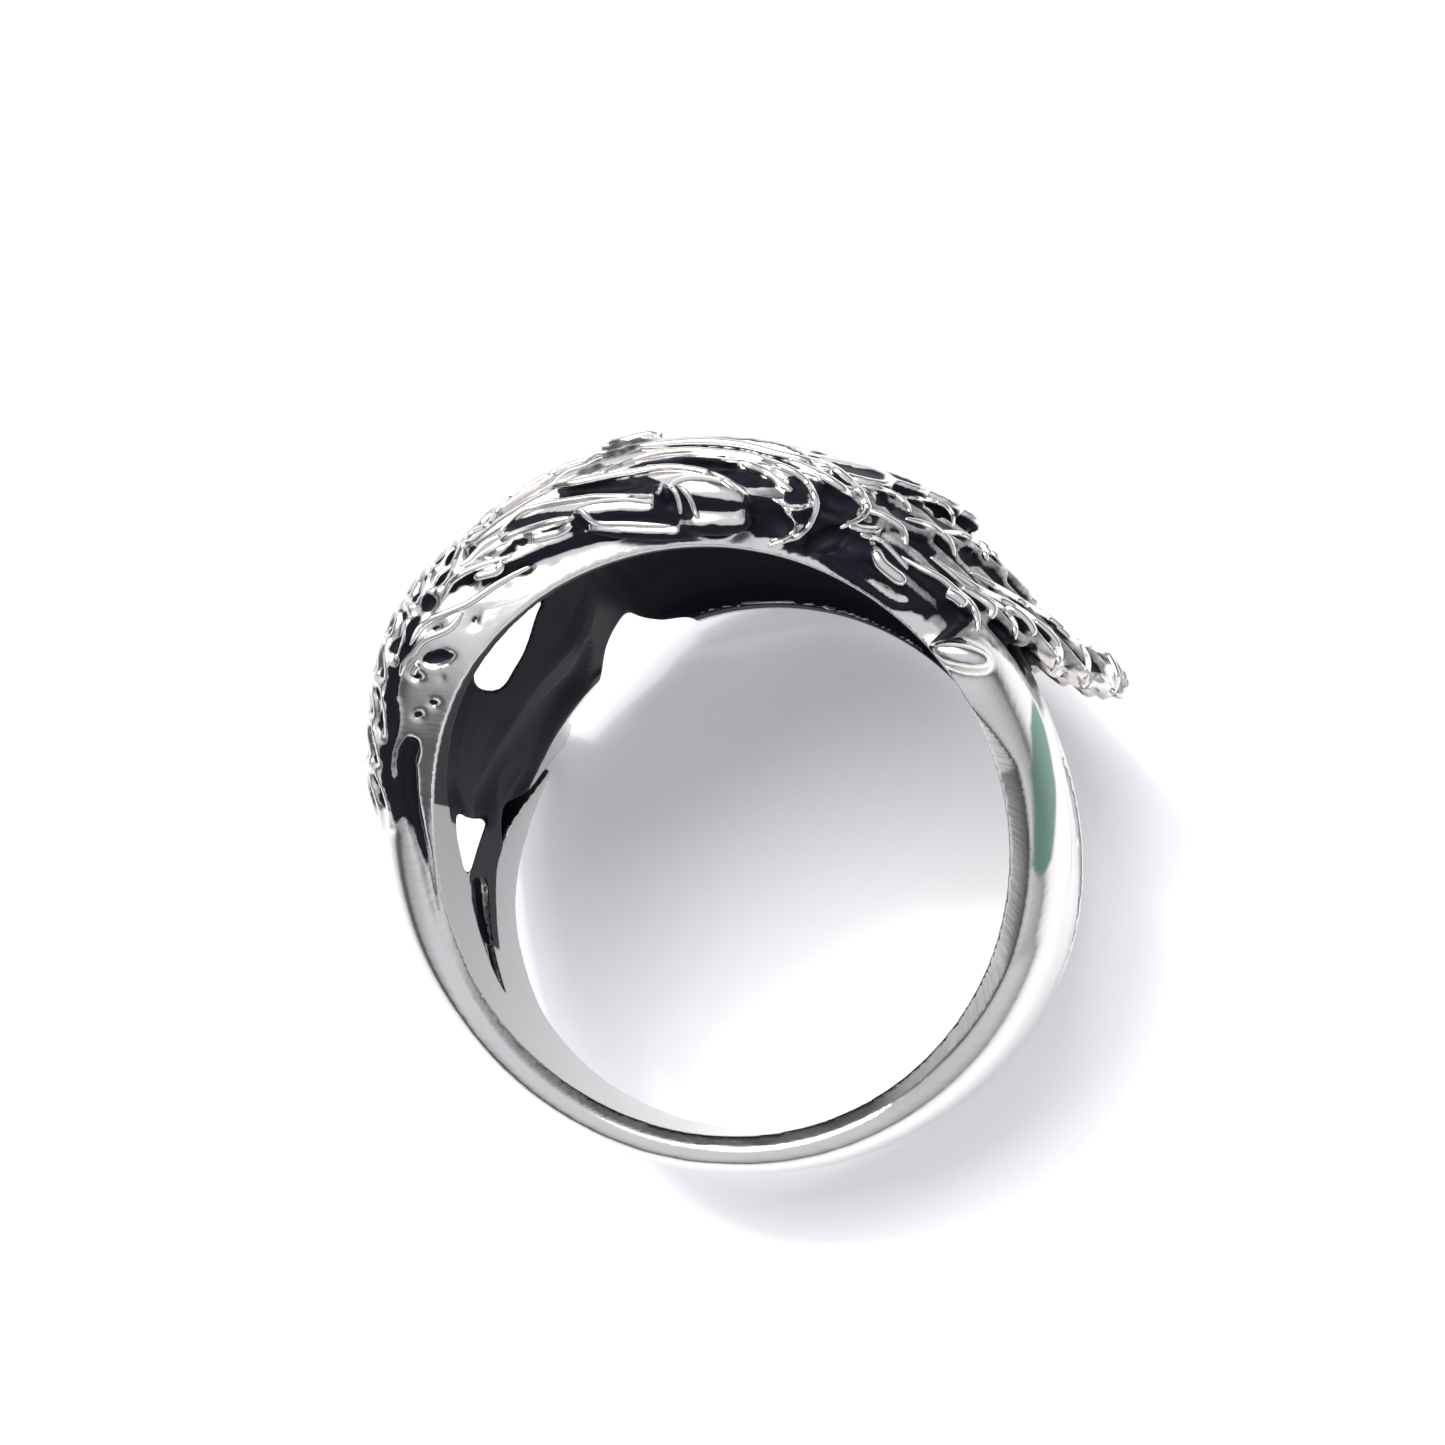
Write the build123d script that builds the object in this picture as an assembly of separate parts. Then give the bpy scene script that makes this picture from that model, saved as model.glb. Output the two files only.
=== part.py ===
from build123d import *
import math
import os

# A cast silver finger ring in the form of a resting swan, all one piece.
# It is modelled upright in its own frame and then laid on its side.
# Own frame: X runs to the tail, Y to the swan's back, Z along the finger.
# Places on it are given by the turn in degrees round the finger from the middle
# of the back, positive toward the tail, and by either the distance along the
# finger in mm or the slope: 0 on the crest, 1 at the edge on the head's side and
# -1 at the other edge.

# Finger hole and band
bore_diameter = 18.6
shank_width = 4.8
flank_thickness = 2.25
rim_thickness = 0.6
bore_stock = 0.5

# Body over the finger
crown_width = 18.4
crown_height = 4.0
skin_thickness = 1.3
hollow_rim_width = 1.4
dome_roundness = 0.72

# Feathers
scale_length = 2.6
scale_width = 1.7
scale_lift = 0.5
quill_width = 2.7
quill_lift = 0.75
feather_depth = 0.95
feather_edge = 0.3
feather_root_lift = 0.1
quill_dish = 0.5
tail_dish = 0.35
tail_width = 1.9
tail_rise = 2.3
tail_root_lift = 0.2

# Neck and head
neck_diameter = 2.7
neck_rise = 1.0
head_length = 2.6
head_height = 1.95
head_depth = 2.0
beak_length = 2.8
beak_height = 0.8
knob_diameter = 0.75
head_turn = 2.0
head_radius = 10.5
head_along = 9.75

# Branches of the band and the gaps between them
branch_width = 2.9
branch_thickness = 1.9
groove_width = 0.7
groove_depth = 0.6
groove_slope = 0.88
seam_depth = 0.4
far_edge_height = 9.4
far_edge_width = 4.5
far_edge_right = -1.0
far_edge_along = -5.9

bore_radius = bore_diameter / 2
stock_radius = bore_radius - bore_stock
cutter_radius = stock_radius - bore_stock
crown_half = crown_width / 2
shank_half = shank_width / 2

# Shares of the growth from shank to crown, by turn: near width, far width
WIDTH_SHARES = (
    (-180, 0.00, 0.00),
    (-150, 0.05, 0.05),
    (-125, 0.18, 0.22),
    (-105, 0.28, 0.42),
    (-85, 0.46, 0.62),
    (-70, 0.72, 0.96),
    (-55, 0.92, 1.00),
    (-38, 0.98, 1.00),
    (-18, 1.00, 1.00),
    (0, 1.00, 1.00),
    (18, 0.96, 0.99),
    (36, 0.84, 0.92),
    (52, 0.72, 0.83),
    (68, 0.62, 0.72),
    (86, 0.50, 0.58),
    (105, 0.37, 0.40),
    (125, 0.24, 0.24),
    (150, 0.08, 0.08),
    (180, 0.00, 0.00),
)

# Body heights by turn: shares of the crown height on the near and the far side,
# then the share of the flank thickness
CREST_SHARES = (
    (-180, 0.00, 0.00, 0.57),
    (-150, 0.00, 0.00, 0.60),
    (-125, 0.00, 0.00, 0.68),
    (-105, 0.00, 0.00, 0.92),
    (-85, 0.08, 0.08, 0.92),
    (-70, 0.40, 0.22, 0.52),
    (-60, 0.66, 0.16, 0.28),
    (-50, 0.86, 0.24, 0.10),
    (-36, 0.98, 0.38, 0.00),
    (-26, 1.00, 0.92, 0.00),
    (-18, 1.00, 1.00, 0.00),
    (0, 0.97, 0.97, 0.00),
    (18, 0.90, 0.90, 0.00),
    (36, 0.72, 0.72, 0.10),
    (52, 0.42, 0.42, 0.30),
    (68, 0.12, 0.12, 0.70),
    (86, 0.00, 0.00, 0.95),
    (105, 0.00, 0.00, 1.00),
    (125, 0.00, 0.00, 0.92),
    (150, 0.00, 0.00, 0.72),
    (180, 0.00, 0.00, 0.57),
)

# Slopes at which the points of one band section stand
BAND_SLOPES = (-1.0, -0.85, -0.68, -0.5, -0.27, 0.0, 0.27, 0.5, 0.68, 0.85, 1.0)


def between(table, turn, column):
    """Read one column of a table at a turn, eased between its rows."""
    for low, high in zip(table, table[1:]):
        if low[0] <= turn <= high[0]:
            share = (turn - low[0]) / (high[0] - low[0])
            share = share * share * (3 - 2 * share) * 0.5 + share * 0.5
            return low[column] + (high[column] - low[column]) * share
    return table[-1][column]


def near_half(turn):
    return shank_half + (crown_half - shank_half) * between(WIDTH_SHARES, turn, 1)


def far_half(turn):
    return shank_half + (crown_half - shank_half) * between(WIDTH_SHARES, turn, 2)


def crest(turn, slope):
    """Height of the body over the finger hole, before its rounding."""
    share = min(1.0, max(0.0, (slope + 0.15) / 0.4))
    near = between(CREST_SHARES, turn, 1)
    far = between(CREST_SHARES, turn, 2)
    flank = flank_thickness * between(CREST_SHARES, turn, 3)
    return crown_height * (far + (near - far) * share) + flank


def place(turn, radius, along):
    angle = math.radians(turn)
    return Vector(radius * math.sin(angle), radius * math.cos(angle), along)


def skin(turn, slope):
    """Radius and distance along the finger of the smooth body at a slope."""
    angle = math.radians(90 * min(0.9999, abs(slope)))
    half = near_half(turn) if slope >= 0 else -far_half(turn)
    high = crest(turn, slope)
    edge = min(rim_thickness, high * 0.6)
    radius = bore_radius + edge + (high - edge) * math.cos(angle) ** dome_roundness
    return radius, half * math.sin(angle) ** dome_roundness


def skin_point(turn, slope):
    radius, along = skin(turn, slope)
    return place(turn, radius, along)


def skin_normal(turn, slope):
    """Outward direction of the smooth body at a place on it."""
    slope = max(-0.97, min(0.97, slope))
    ahead = skin_point(turn + 1.0, slope) - skin_point(turn - 1.0, slope)
    across = skin_point(turn, slope + 0.02) - skin_point(turn, slope - 0.02)
    out = across.cross(ahead)
    if out.dot(skin_point(turn, slope) - place(turn, bore_radius, 0.0)) < 0:
        out = out * -1
    return out.normalized()


def triangle(one, two, three):
    return Face(Wire.make_polygon([one, two, three]))


def skinned(rows, closed=False):
    """Closed faceted solid through rows of points, each row a closed outline."""
    faces = []
    count = len(rows[0])
    pairs = list(zip(rows, rows[1:]))
    if closed:
        pairs.append((rows[-1], rows[0]))
    for first, second in pairs:
        for step in range(count):
            after = (step + 1) % count
            faces.append(triangle(first[step], first[after], second[after]))
            faces.append(triangle(first[step], second[after], second[step]))
    if not closed:
        for row in (rows[0], rows[-1]):
            middle = sum(row, Vector(0, 0, 0)) * (1.0 / count)
            for step in range(count):
                faces.append(triangle(row[step], row[(step + 1) % count], middle))
    body = Solid(Shell(faces))
    if body.volume < 0:
        body = Solid(body.wrapped.Reversed())
    return body


def band_row(turn):
    outline = [skin_point(turn, slope) for slope in BAND_SLOPES]
    first = place(turn, stock_radius, -far_half(turn))
    last = place(turn, stock_radius, near_half(turn))
    return [first] + outline + [last]


def band():
    turns = [-180 + 9 * step for step in range(40)]
    return skinned([band_row(turn) for turn in turns], closed=True)


# Feathers along their length: share of the length, share of the full width
FEATHER_OUTLINE = ((0.0, 0.6), (0.35, 0.95), (0.7, 1.0), (0.88, 0.78), (0.97, 0.45), (1.0, 0.2))
SCALE_OUTLINE = ((0.0, 0.7), (0.5, 1.0), (0.84, 0.8), (1.0, 0.25))


def leaf(root, tip, width, lift_root, lift_tip, outline, dish):
    """A feather from root to tip, each (turn, slope), with a rim where it is dished."""
    rows = []
    slant = (tip[1] - root[1]) / (tip[0] - root[0])
    for share, full in outline:
        turn = root[0] + (tip[0] - root[0]) * share
        slope = root[1] + (tip[1] - root[1]) * share
        out = skin_normal(turn, slope)
        ahead = (skin_point(turn + 1.0, slope + slant) - skin_point(turn, slope)).normalized()
        side = out.cross(ahead).normalized()
        lift = lift_root + (lift_tip - lift_root) * share ** 1.5
        centre = skin_point(turn, slope) + out * lift
        half = width / 2 * full
        deep = feather_depth * (1.0 - 0.45 * share ** 3)
        if dish:
            sunk = dish * min(1.0, 0.4 + share) * min(1.0, full * 1.1)
            middle = ((-0.74, 0.0), (0.0, -sunk), (0.74, 0.0))
        else:
            middle = ((0.0, 0.0),)
        across = ((-0.8, -deep), (-1.0, -feather_edge)) + middle + (
            (1.0, -feather_edge), (0.8, -deep))
        rows.append([centre + side * (x * half) + out * y for x, y in across])
    return skinned(rows)


def tube(path, radii):
    """A round bar through points, with its own radius at each one."""
    rows = []
    for index, point in enumerate(path):
        before = path[max(0, index - 1)]
        after = path[min(len(path) - 1, index + 1)]
        ahead = (after - before).normalized()
        out = Vector(point.X, point.Y, 0).normalized()
        side = out.cross(ahead).normalized()
        out = ahead.cross(side).normalized()
        row = []
        for step in range(8):
            angle = math.pi * 2 * (step + 0.5) / 8
            row.append(point + side * (radii[index] * math.cos(angle))
                       + out * (radii[index] * math.sin(angle)))
        rows.append(row)
    return skinned(rows)


# Rows of small scales where a wing leaves the band: turn, first slope, how many
SCALE_ROWS = (
    (-86, 0.42, 3),
    (-79, 0.36, 5),
    (-73, 0.42, 4),
    (-67, 0.36, 5),
    (-61, 0.42, 4),
    (-55, 0.36, 5),
    (-49, 0.42, 4),
    (-44, 0.76, 2),
)
scale_step = 0.14


def shoulder_scales(side):
    """Small overlapping scales where the wing leaves the band."""
    made = []
    degrees = math.degrees(scale_length / (bore_radius + crown_height))
    for turn, first, count in SCALE_ROWS:
        if side < 0 and turn > -66:
            continue
        for step in range(count):
            slope = side * (first + step * scale_step)
            made.append(leaf((turn, slope), (turn + degrees, slope * 0.97),
                             scale_width, feather_root_lift, scale_lift,
                             SCALE_OUTLINE, 0.0))
    return made


# Long wing feathers: root turn and slope, tip turn and slope,
# share of the quill width, share of the quill lift
QUILLS = (
    (-44, 0.86, -6, 0.90, 0.80, 0.50),
    (-43, 0.70, 16, 0.81, 1.25, 1.00),
    (-40, 0.52, 22, 0.56, 1.10, 0.85),
    (-34, 0.34, 21, 0.35, 0.95, 0.70),
    (-30, 0.16, 14, 0.16, 0.75, 0.50),
)
far_quill_start = -24


def wing_quills(side):
    """Long rimmed feathers over the top of one wing."""
    made = []
    for turn0, slope0, turn1, slope1, wide, high in QUILLS:
        start = turn0 if side > 0 else max(turn0, far_quill_start)
        made.append(leaf((start, side * slope0), (turn1, side * slope1),
                         quill_width * wide, feather_root_lift, quill_lift * high,
                         FEATHER_OUTLINE, quill_dish))
    return made


# Tail feathers: root turn and slope, tip turn and slope, share of the tail rise
TAIL_LONG = (
    (17, 0.93, 42, 0.93, 0.10),
    (18, 0.82, 46, 0.82, 0.16),
    (20, 0.68, 51, 0.68, 0.26),
    (22, 0.54, 57, 0.53, 0.42),
    (22, 0.40, 62, 0.39, 0.62),
    (24, 0.27, 65, 0.25, 0.84),
    (24, 0.13, 67, 0.11, 1.00),
    (24, -0.01, 67, -0.03, 1.00),
    (22, -0.15, 65, -0.17, 0.84),
    (22, -0.30, 61, -0.31, 0.62),
    (20, -0.46, 56, -0.47, 0.42),
    (18, -0.64, 50, -0.65, 0.26),
)
TAIL_SHORT = (
    (10, 0.90, 30, 0.91, 0.16),
    (10, 0.75, 30, 0.78, 0.28),
    (12, 0.60, 36, 0.62, 0.34),
    (14, 0.46, 41, 0.47, 0.42),
    (16, 0.32, 46, 0.32, 0.50),
    (16, 0.17, 49, 0.17, 0.56),
    (16, 0.02, 50, 0.02, 0.58),
    (16, -0.14, 48, -0.14, 0.54),
    (14, -0.31, 43, -0.31, 0.46),
    (12, -0.49, 37, -0.50, 0.36),
    (8, -0.68, 30, -0.70, 0.28),
)
TAIL_TOP = (
    (4, 0.52, 27, 0.54, 0.48),
    (6, 0.38, 31, 0.39, 0.54),
    (8, 0.23, 35, 0.23, 0.60),
    (8, 0.08, 37, 0.08, 0.64),
    (8, -0.10, 35, -0.10, 0.60),
    (6, -0.28, 30, -0.28, 0.52),
    (4, -0.46, 25, -0.47, 0.46),
)


def tail_row(table):
    made = []
    for turn0, slope0, turn1, slope1, rise in table:
        made.append(leaf((turn0, slope0), (turn1, slope1), tail_width,
                         tail_root_lift, tail_rise * rise, FEATHER_OUTLINE, tail_dish))
    return made


def neck():
    """The neck runs back along the body, then turns to the head's side."""
    places = (
        (-76, -0.05, -1.2, 0.90),
        (-66, -0.22, -0.9, 0.90),
        (-56, -0.36, -0.6, 0.85),
        (-46, -0.34, -0.5, 0.85),
        (-38, -0.24, -0.4, 0.90),
        (-30, -0.12, -0.2, 0.95),
        (-22, -0.03, 0.1, 1.00),
        (-16, 0.00, 0.2, 1.00),
        (-9, 0.00, -0.1, 0.98),
        (-2, -0.02, -0.6, 0.92),
        (5, -0.02, -0.6, 0.90),
        (11, 0.00, -0.2, 0.90),
        (16, 0.05, 0.1, 0.92),
        (19, 0.12, -0.1, 0.86),
        (18, 0.22, -0.4, 0.76),
        (13, 0.32, -0.6, 0.60),
    )
    path = []
    radii = []
    for turn, slope, rise, full in places:
        lift = skin_normal(turn, slope) * (neck_rise * rise)
        path.append(skin_point(turn, slope) + lift)
        radii.append(neck_diameter / 2 * full)
    return tube(path, radii)


def egg(centre, length, height, depth, outline):
    """Rounded body along X: outline rows are (share of length, share of size, drop)."""
    rows = []
    for along, full, drop in outline:
        middle = centre + Vector(along * length, drop * height, 0)
        row = []
        for step in range(8):
            angle = math.pi * 2 * (step + 0.5) / 8
            row.append(middle + Vector(0, height / 2 * full * math.sin(angle),
                                       depth / 2 * full * math.cos(angle)))
        rows.append(row)
    return skinned(rows)


SKULL = ((-0.5, 0.45, -0.1), (-0.3, 0.82, 0.0), (0.05, 1.0, 0.0), (0.34, 0.86, 0.0),
         (0.5, 0.35, 0.0))
BILL = ((-0.55, 0.42, -0.35), (-0.25, 0.85, -0.14), (0.1, 1.0, -0.02),
        (0.5, 1.1, 0.0))
KNOB = ((-0.5, 0.3, 0.0), (-0.2, 0.9, 0.0), (0.2, 0.9, 0.0), (0.5, 0.3, 0.0))


def head():
    """Head lying against the near wing, with beak and knob toward the breast."""
    centre = place(head_turn, head_radius, head_along)
    front = centre - Vector(head_length * 0.42, 0, 0)
    bill = front - Vector(beak_length * 0.5, 0.12, 0)
    knob = front + Vector(-0.15, head_height * 0.2, head_depth * 0.22)
    return [
        egg(centre, head_length, head_height, head_depth, SKULL),
        egg(bill, beak_length * 1.15, beak_height, head_depth * 0.8, BILL),
        egg(knob, knob_diameter, knob_diameter * 1.4, knob_diameter * 1.4, KNOB),
    ]


# Free band ends: turn, middle along the finger as a share of half the crown,
# share of the branch width
NEAR_BRANCH = (
    (128, 0.28, 0.35),
    (112, 0.38, 0.80),
    (96, 0.46, 0.95),
    (82, 0.55, 1.00),
    (70, 0.64, 1.00),
    (60, 0.72, 1.00),
    (54, 0.77, 0.86),
    (51, 0.79, 0.60),
    (49.5, 0.80, 0.25),
)
FAR_BRANCH = (
    (-134, -0.25, 0.35),
    (-116, -0.42, 0.80),
    (-100, -0.58, 0.95),
    (-90, -0.73, 1.00),
    (-80, -0.88, 1.00),
    (-70, -0.99, 1.00),
    (-62, -1.04, 0.86),
    (-58, -1.05, 0.60),
    (-56, -1.05, 0.25),
)


# Section of a branch: share of half its width, share of its thickness
BRANCH_SECTION = ((-1.0, 0.62), (-0.5, 0.95), (0.25, 0.9), (0.8, 0.55), (1.0, 0.15))


def branch(table):
    """Smooth band end that stops in a rounded tip beside the body."""
    rows = []
    side = 1 if table[0][1] > 0 else -1
    for turn, middle, full in table:
        half = side * branch_width / 2 * full
        thick = branch_thickness * (0.7 + 0.3 * full)
        along = middle * crown_half
        outline = [place(turn, bore_radius + thick * high, along + half * wide)
                   for wide, high in BRANCH_SECTION]
        first = place(turn, stock_radius, along - half)
        last = place(turn, stock_radius, along + half)
        rows.append([first] + outline + [last])
    return skinned(rows)


def window(corners, outer):
    """Radial prism from the finger hole out, with (turn, along) corners."""
    rows = []
    for radius in (cutter_radius, outer):
        rows.append([place(turn, radius, along) for turn, along in corners])
    return skinned(rows)


def gaps():
    """Openings between the branches and beside the breast."""
    outer = bore_radius + crown_height + tail_rise
    shoulder_gap = ((-58, 6.2), (-59.5, 3.6), (-59.5, -0.8), (-57, -2.6), (-52, -2.2),
                    (-45, 0.4), (-38, 3.6), (-32, 6.6), (-29.5, 8.0), (-34, 8.2),
                    (-45, 7.6), (-54, 6.9))
    breast_notch = ((-28, 0.2), (-33, -1.6), (-39, -4.6), (-46, -8.0), (-50, -12.0),
                    (-22, -12.0), (-24, -8.6), (-25, -4.6), (-26, -1.6))
    split_left = ((-98, -0.6), (-92, 0.3), (-87, 1.6), (-82.5, 2.8), (-80.5, 1.5),
                  (-80.5, -3.0), (-86, -4.0), (-92, -3.0))
    split_right = ((114, 0.0), (100, 1.5), (84, 2.9), (76, 3.1), (71, 2.2),
                   (69, 0.6), (72, -1.0), (82, -1.9), (98, -1.3))
    wing_edge = Pos(far_edge_right - far_edge_width / 2, far_edge_height / 2,
                    far_edge_along - crown_half / 2) * Box(
        far_edge_width, far_edge_height, crown_half)
    seam = ((-120, 0.0), (-108, 0.1), (-96, 0.0), (-95, -2.4), (-108, -1.5))
    made = [window(corners, outer)
            for corners in (shoulder_gap, breast_notch, split_left, split_right)]
    return made + [wing_edge, window(seam, bore_radius + seam_depth)]


# The scooped underside: turn, share of the depth
HOLLOW_DEPTHS = (
    (-80, 0.12),
    (-72, 0.55),
    (-60, 1.00),
    (-45, 1.00),
    (-30, 1.00),
    (-15, 1.00),
    (0, 1.00),
    (15, 1.00),
    (30, 1.00),
    (40, 0.70),
    (46, 0.20),
)
HOLLOW_SLOPES = (-1.0, -0.82, -0.55, -0.2, 0.2, 0.55, 0.82, 1.0)


def hollow():
    """Underside of the body, scooped out from the finger hole."""
    rows = []
    for turn, full in HOLLOW_DEPTHS:
        near = near_half(turn) - hollow_rim_width
        far = far_half(turn) - hollow_rim_width
        row = [place(turn, cutter_radius, -far)]
        for slope in HOLLOW_SLOPES:
            angle = math.radians(90 * min(0.9999, abs(slope)))
            along = (near if slope > 0 else -far) * math.sin(angle) ** dome_roundness
            room = max(0.25, crest(turn, slope) - skin_thickness)
            rise = (0.12 + 0.88 * math.cos(angle) ** dome_roundness) * room * full
            row.append(place(turn, bore_radius + rise, along * (0.8 + 0.2 * full)))
        row.append(place(turn, cutter_radius, near))
        rows.append(row)
    return skinned(rows)


# Channel on the breast side of the band: turn, share of its width and depth
GROOVE_STEPS = ((-70, 0.9), (-77, 1.15), (-88, 1.0), (-100, 0.75), (-112, 0.45),
                (-122, 0.12))


def branch_groove():
    """Tapering channel down the near face of the band on the breast side."""
    rows = []
    for turn, full in GROOVE_STEPS:
        out = skin_normal(turn, groove_slope)
        ahead = place(turn + 90, 1.0, 0.0)
        side = out.cross(ahead).normalized()
        top = skin_point(turn, groove_slope)
        half = groove_width / 2 * full
        deep = groove_depth * (0.4 + 0.6 * full)
        rows.append([top + side * (x * half) + out * y
                     for x, y in ((-0.5, -deep), (0.5, -deep), (1.6, 1.0), (-1.6, 1.0))])
    return skinned(rows)


def swan_ring():
    body = band()
    added = [branch(NEAR_BRANCH), branch(FAR_BRANCH), neck()]
    for side in (1, -1):
        added += shoulder_scales(side)
        added += wing_quills(side)
    for table in (TAIL_LONG, TAIL_SHORT, TAIL_TOP):
        added += tail_row(table)
    added += head()
    body = body.fuse(*added)
    cuts = [hollow(), branch_groove()] + gaps()
    cuts.append(Cylinder(bore_radius, crown_width * 3))
    return body.cut(*cuts)


def middle_height(points, middle, lean, roll):
    """Height of the middle of mass over the floor once leant about X, rolled about Y."""
    up = (-math.sin(roll), math.cos(roll) * math.sin(lean), math.cos(roll) * math.cos(lean))
    low = min(x * up[0] + y * up[1] + z * up[2] for x, y, z in points)
    return middle.X * up[0] + middle.Y * up[1] + middle.Z * up[2] - low


def resting_angles(ring):
    """Lean and roll, in degrees, at which the middle of mass lies lowest."""
    points = [tuple(vertex) for vertex in ring.vertices()]
    points = [point for point in points if point[2] < -shank_half / 2]
    middle = ring.center(CenterOf.MASS)
    lean = math.radians(17)
    roll = math.radians(10)
    step = math.radians(1)
    best = middle_height(points, middle, lean, roll)
    while step > math.radians(0.002):
        tries = []
        for count in range(32):
            angle = math.pi * 2 * count / 32
            tried = (lean + step * math.cos(angle), roll + step * math.sin(angle))
            tries.append((middle_height(points, middle, *tried), tried))
        height, tried = min(tries)
        if height < best:
            best = height
            lean, roll = tried
        else:
            step = step / 2
    return math.degrees(lean), math.degrees(roll)


def laid_down(ring):
    """The ring on its side, standing on Z = 0 over the middle of its box."""
    lean, roll = resting_angles(ring)
    turned = ring.rotate(Axis.X, lean).rotate(Axis.Y, roll)
    box = turned.bounding_box()
    centre = box.center()
    shift = Vector(-centre.X, -centre.Y, -box.min.Z)
    print("lean", lean, "roll", roll)
    print("finger hole middle", shift)
    return turned.translate(shift)


def main():
    ring = swan_ring()
    print("solids", len(ring.solids()), "volume", ring.volume, "valid", ring.is_valid)
    ring = laid_down(ring)
    box = ring.bounding_box()
    print("faces", len(ring.faces()), "size", box.size)
    os.makedirs("parts", exist_ok=True)
    export_step(ring, "parts/swan_ring.step")


main()
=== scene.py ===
# %% [markdown]
# # A cast silver swan ring
# The ring lies on its side on a glossy white surface, as it would by itself.
# The CAD model gives its true sizes and how it rests. This lesson rebuilds the
# same shape finely enough for a close photograph and gives it its finish:
# silver that was blackened all over and then polished where a wheel can reach.

# %% Load the CAD frame
import math

import bpy
import numpy as np
from mathutils import Matrix, Vector
from mathutils.bvhtree import BVHTree


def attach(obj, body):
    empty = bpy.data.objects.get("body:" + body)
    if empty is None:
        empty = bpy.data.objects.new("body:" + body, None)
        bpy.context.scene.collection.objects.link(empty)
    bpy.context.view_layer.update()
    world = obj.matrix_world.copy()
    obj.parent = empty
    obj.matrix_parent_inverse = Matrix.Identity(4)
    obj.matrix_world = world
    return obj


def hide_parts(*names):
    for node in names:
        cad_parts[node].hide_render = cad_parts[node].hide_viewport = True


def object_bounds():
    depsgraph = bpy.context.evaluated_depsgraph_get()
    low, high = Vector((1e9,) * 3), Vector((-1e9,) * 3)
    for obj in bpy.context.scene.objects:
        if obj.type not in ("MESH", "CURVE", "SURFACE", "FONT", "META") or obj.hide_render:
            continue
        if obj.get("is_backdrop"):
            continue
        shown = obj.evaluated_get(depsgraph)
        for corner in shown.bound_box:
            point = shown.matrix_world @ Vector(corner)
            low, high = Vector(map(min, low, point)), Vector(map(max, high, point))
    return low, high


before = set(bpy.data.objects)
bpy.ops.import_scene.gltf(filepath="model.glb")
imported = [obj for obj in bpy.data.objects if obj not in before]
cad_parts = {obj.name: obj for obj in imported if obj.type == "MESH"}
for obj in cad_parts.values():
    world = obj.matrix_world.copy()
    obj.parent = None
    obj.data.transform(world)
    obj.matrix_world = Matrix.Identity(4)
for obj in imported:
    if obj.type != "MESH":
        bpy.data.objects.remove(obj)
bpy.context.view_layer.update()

MM = 0.001

# %% [markdown]
# ## The ring's own frame
# A ring is easiest to describe standing up: X toward the tail, Y toward the
# swan's back, Z along the finger. Every piece below is made in that frame in
# millimetres, and one matrix then lays the finished ring down on its side,
# with the same lean and roll as the CAD.

# %% Sizes and the matrix that lays the ring down
LEAN, ROLL = 16.291242, 10.194594
HOLE_MIDDLE = Vector((-0.492408, -1.97069, 7.55808))
TILT = Matrix.Rotation(math.radians(ROLL), 4, "Y") @ Matrix.Rotation(math.radians(LEAN), 4, "X")
LAY_DOWN = Matrix.Scale(MM, 4) @ Matrix.Translation(HOLE_MIDDLE) @ TILT

# Radius of the finger hole, and half widths along the finger
BORE = 9.3
SHANK_HALF, CROWN_HALF = 2.4, 9.2
# Heights over the hole, then the thickness left by the scoop
CROWN_HEIGHT, FLANK, RIM, SKIN = 4.0, 2.25, 0.6, 1.3
# Below 1 the body's section is fuller than a half circle
ROUNDNESS = 0.72
print("finger hole", 2 * BORE, "mm, crown", 2 * CROWN_HALF, "mm along the finger")

# %% [markdown]
# ## The body under the feathers
# The ring is a band that swells from a narrow shank into a broad back. Its
# outline is given by turn, in degrees round the finger from the middle of the
# back. The tables hold a few given shares, and a running average over them
# keeps the polished band free of kinks, which a mirror finish would show.

# %% Tables of widths and heights round the finger
# Turn, then the near and the far share of the growth from shank to crown
WIDTHS = np.array([
    (-180, 0.00, 0.00), (-150, 0.05, 0.05), (-125, 0.18, 0.22), (-105, 0.28, 0.42),
    (-85, 0.46, 0.62), (-70, 0.72, 0.96), (-55, 0.92, 1.00), (-38, 0.98, 1.00),
    (-18, 1.00, 1.00), (0, 1.00, 1.00), (18, 0.96, 0.99), (36, 0.84, 0.92),
    (52, 0.72, 0.83), (68, 0.62, 0.72), (86, 0.50, 0.58), (105, 0.37, 0.40),
    (125, 0.24, 0.24), (150, 0.08, 0.08), (180, 0.00, 0.00)])
# Turn, shares of the crown height near and far, share of the flank thickness
HEIGHTS = np.array([
    (-180, 0.00, 0.00, 0.57), (-150, 0.00, 0.00, 0.60), (-125, 0.00, 0.00, 0.68),
    (-105, 0.00, 0.00, 0.92), (-85, 0.08, 0.08, 0.92), (-70, 0.40, 0.22, 0.52),
    (-60, 0.66, 0.16, 0.28), (-50, 0.86, 0.24, 0.10), (-36, 0.98, 0.38, 0.00),
    (-26, 1.00, 0.92, 0.00), (-18, 1.00, 1.00, 0.00), (0, 0.97, 0.97, 0.00),
    (18, 0.90, 0.90, 0.00), (36, 0.72, 0.72, 0.10), (52, 0.42, 0.42, 0.30),
    (68, 0.12, 0.12, 0.70), (86, 0.00, 0.00, 0.95), (105, 0.00, 0.00, 1.00),
    (125, 0.00, 0.00, 0.92), (150, 0.00, 0.00, 0.72), (180, 0.00, 0.00, 0.57)])
DEGREES = np.arange(-180.0, 180.5, 1.0)


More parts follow.
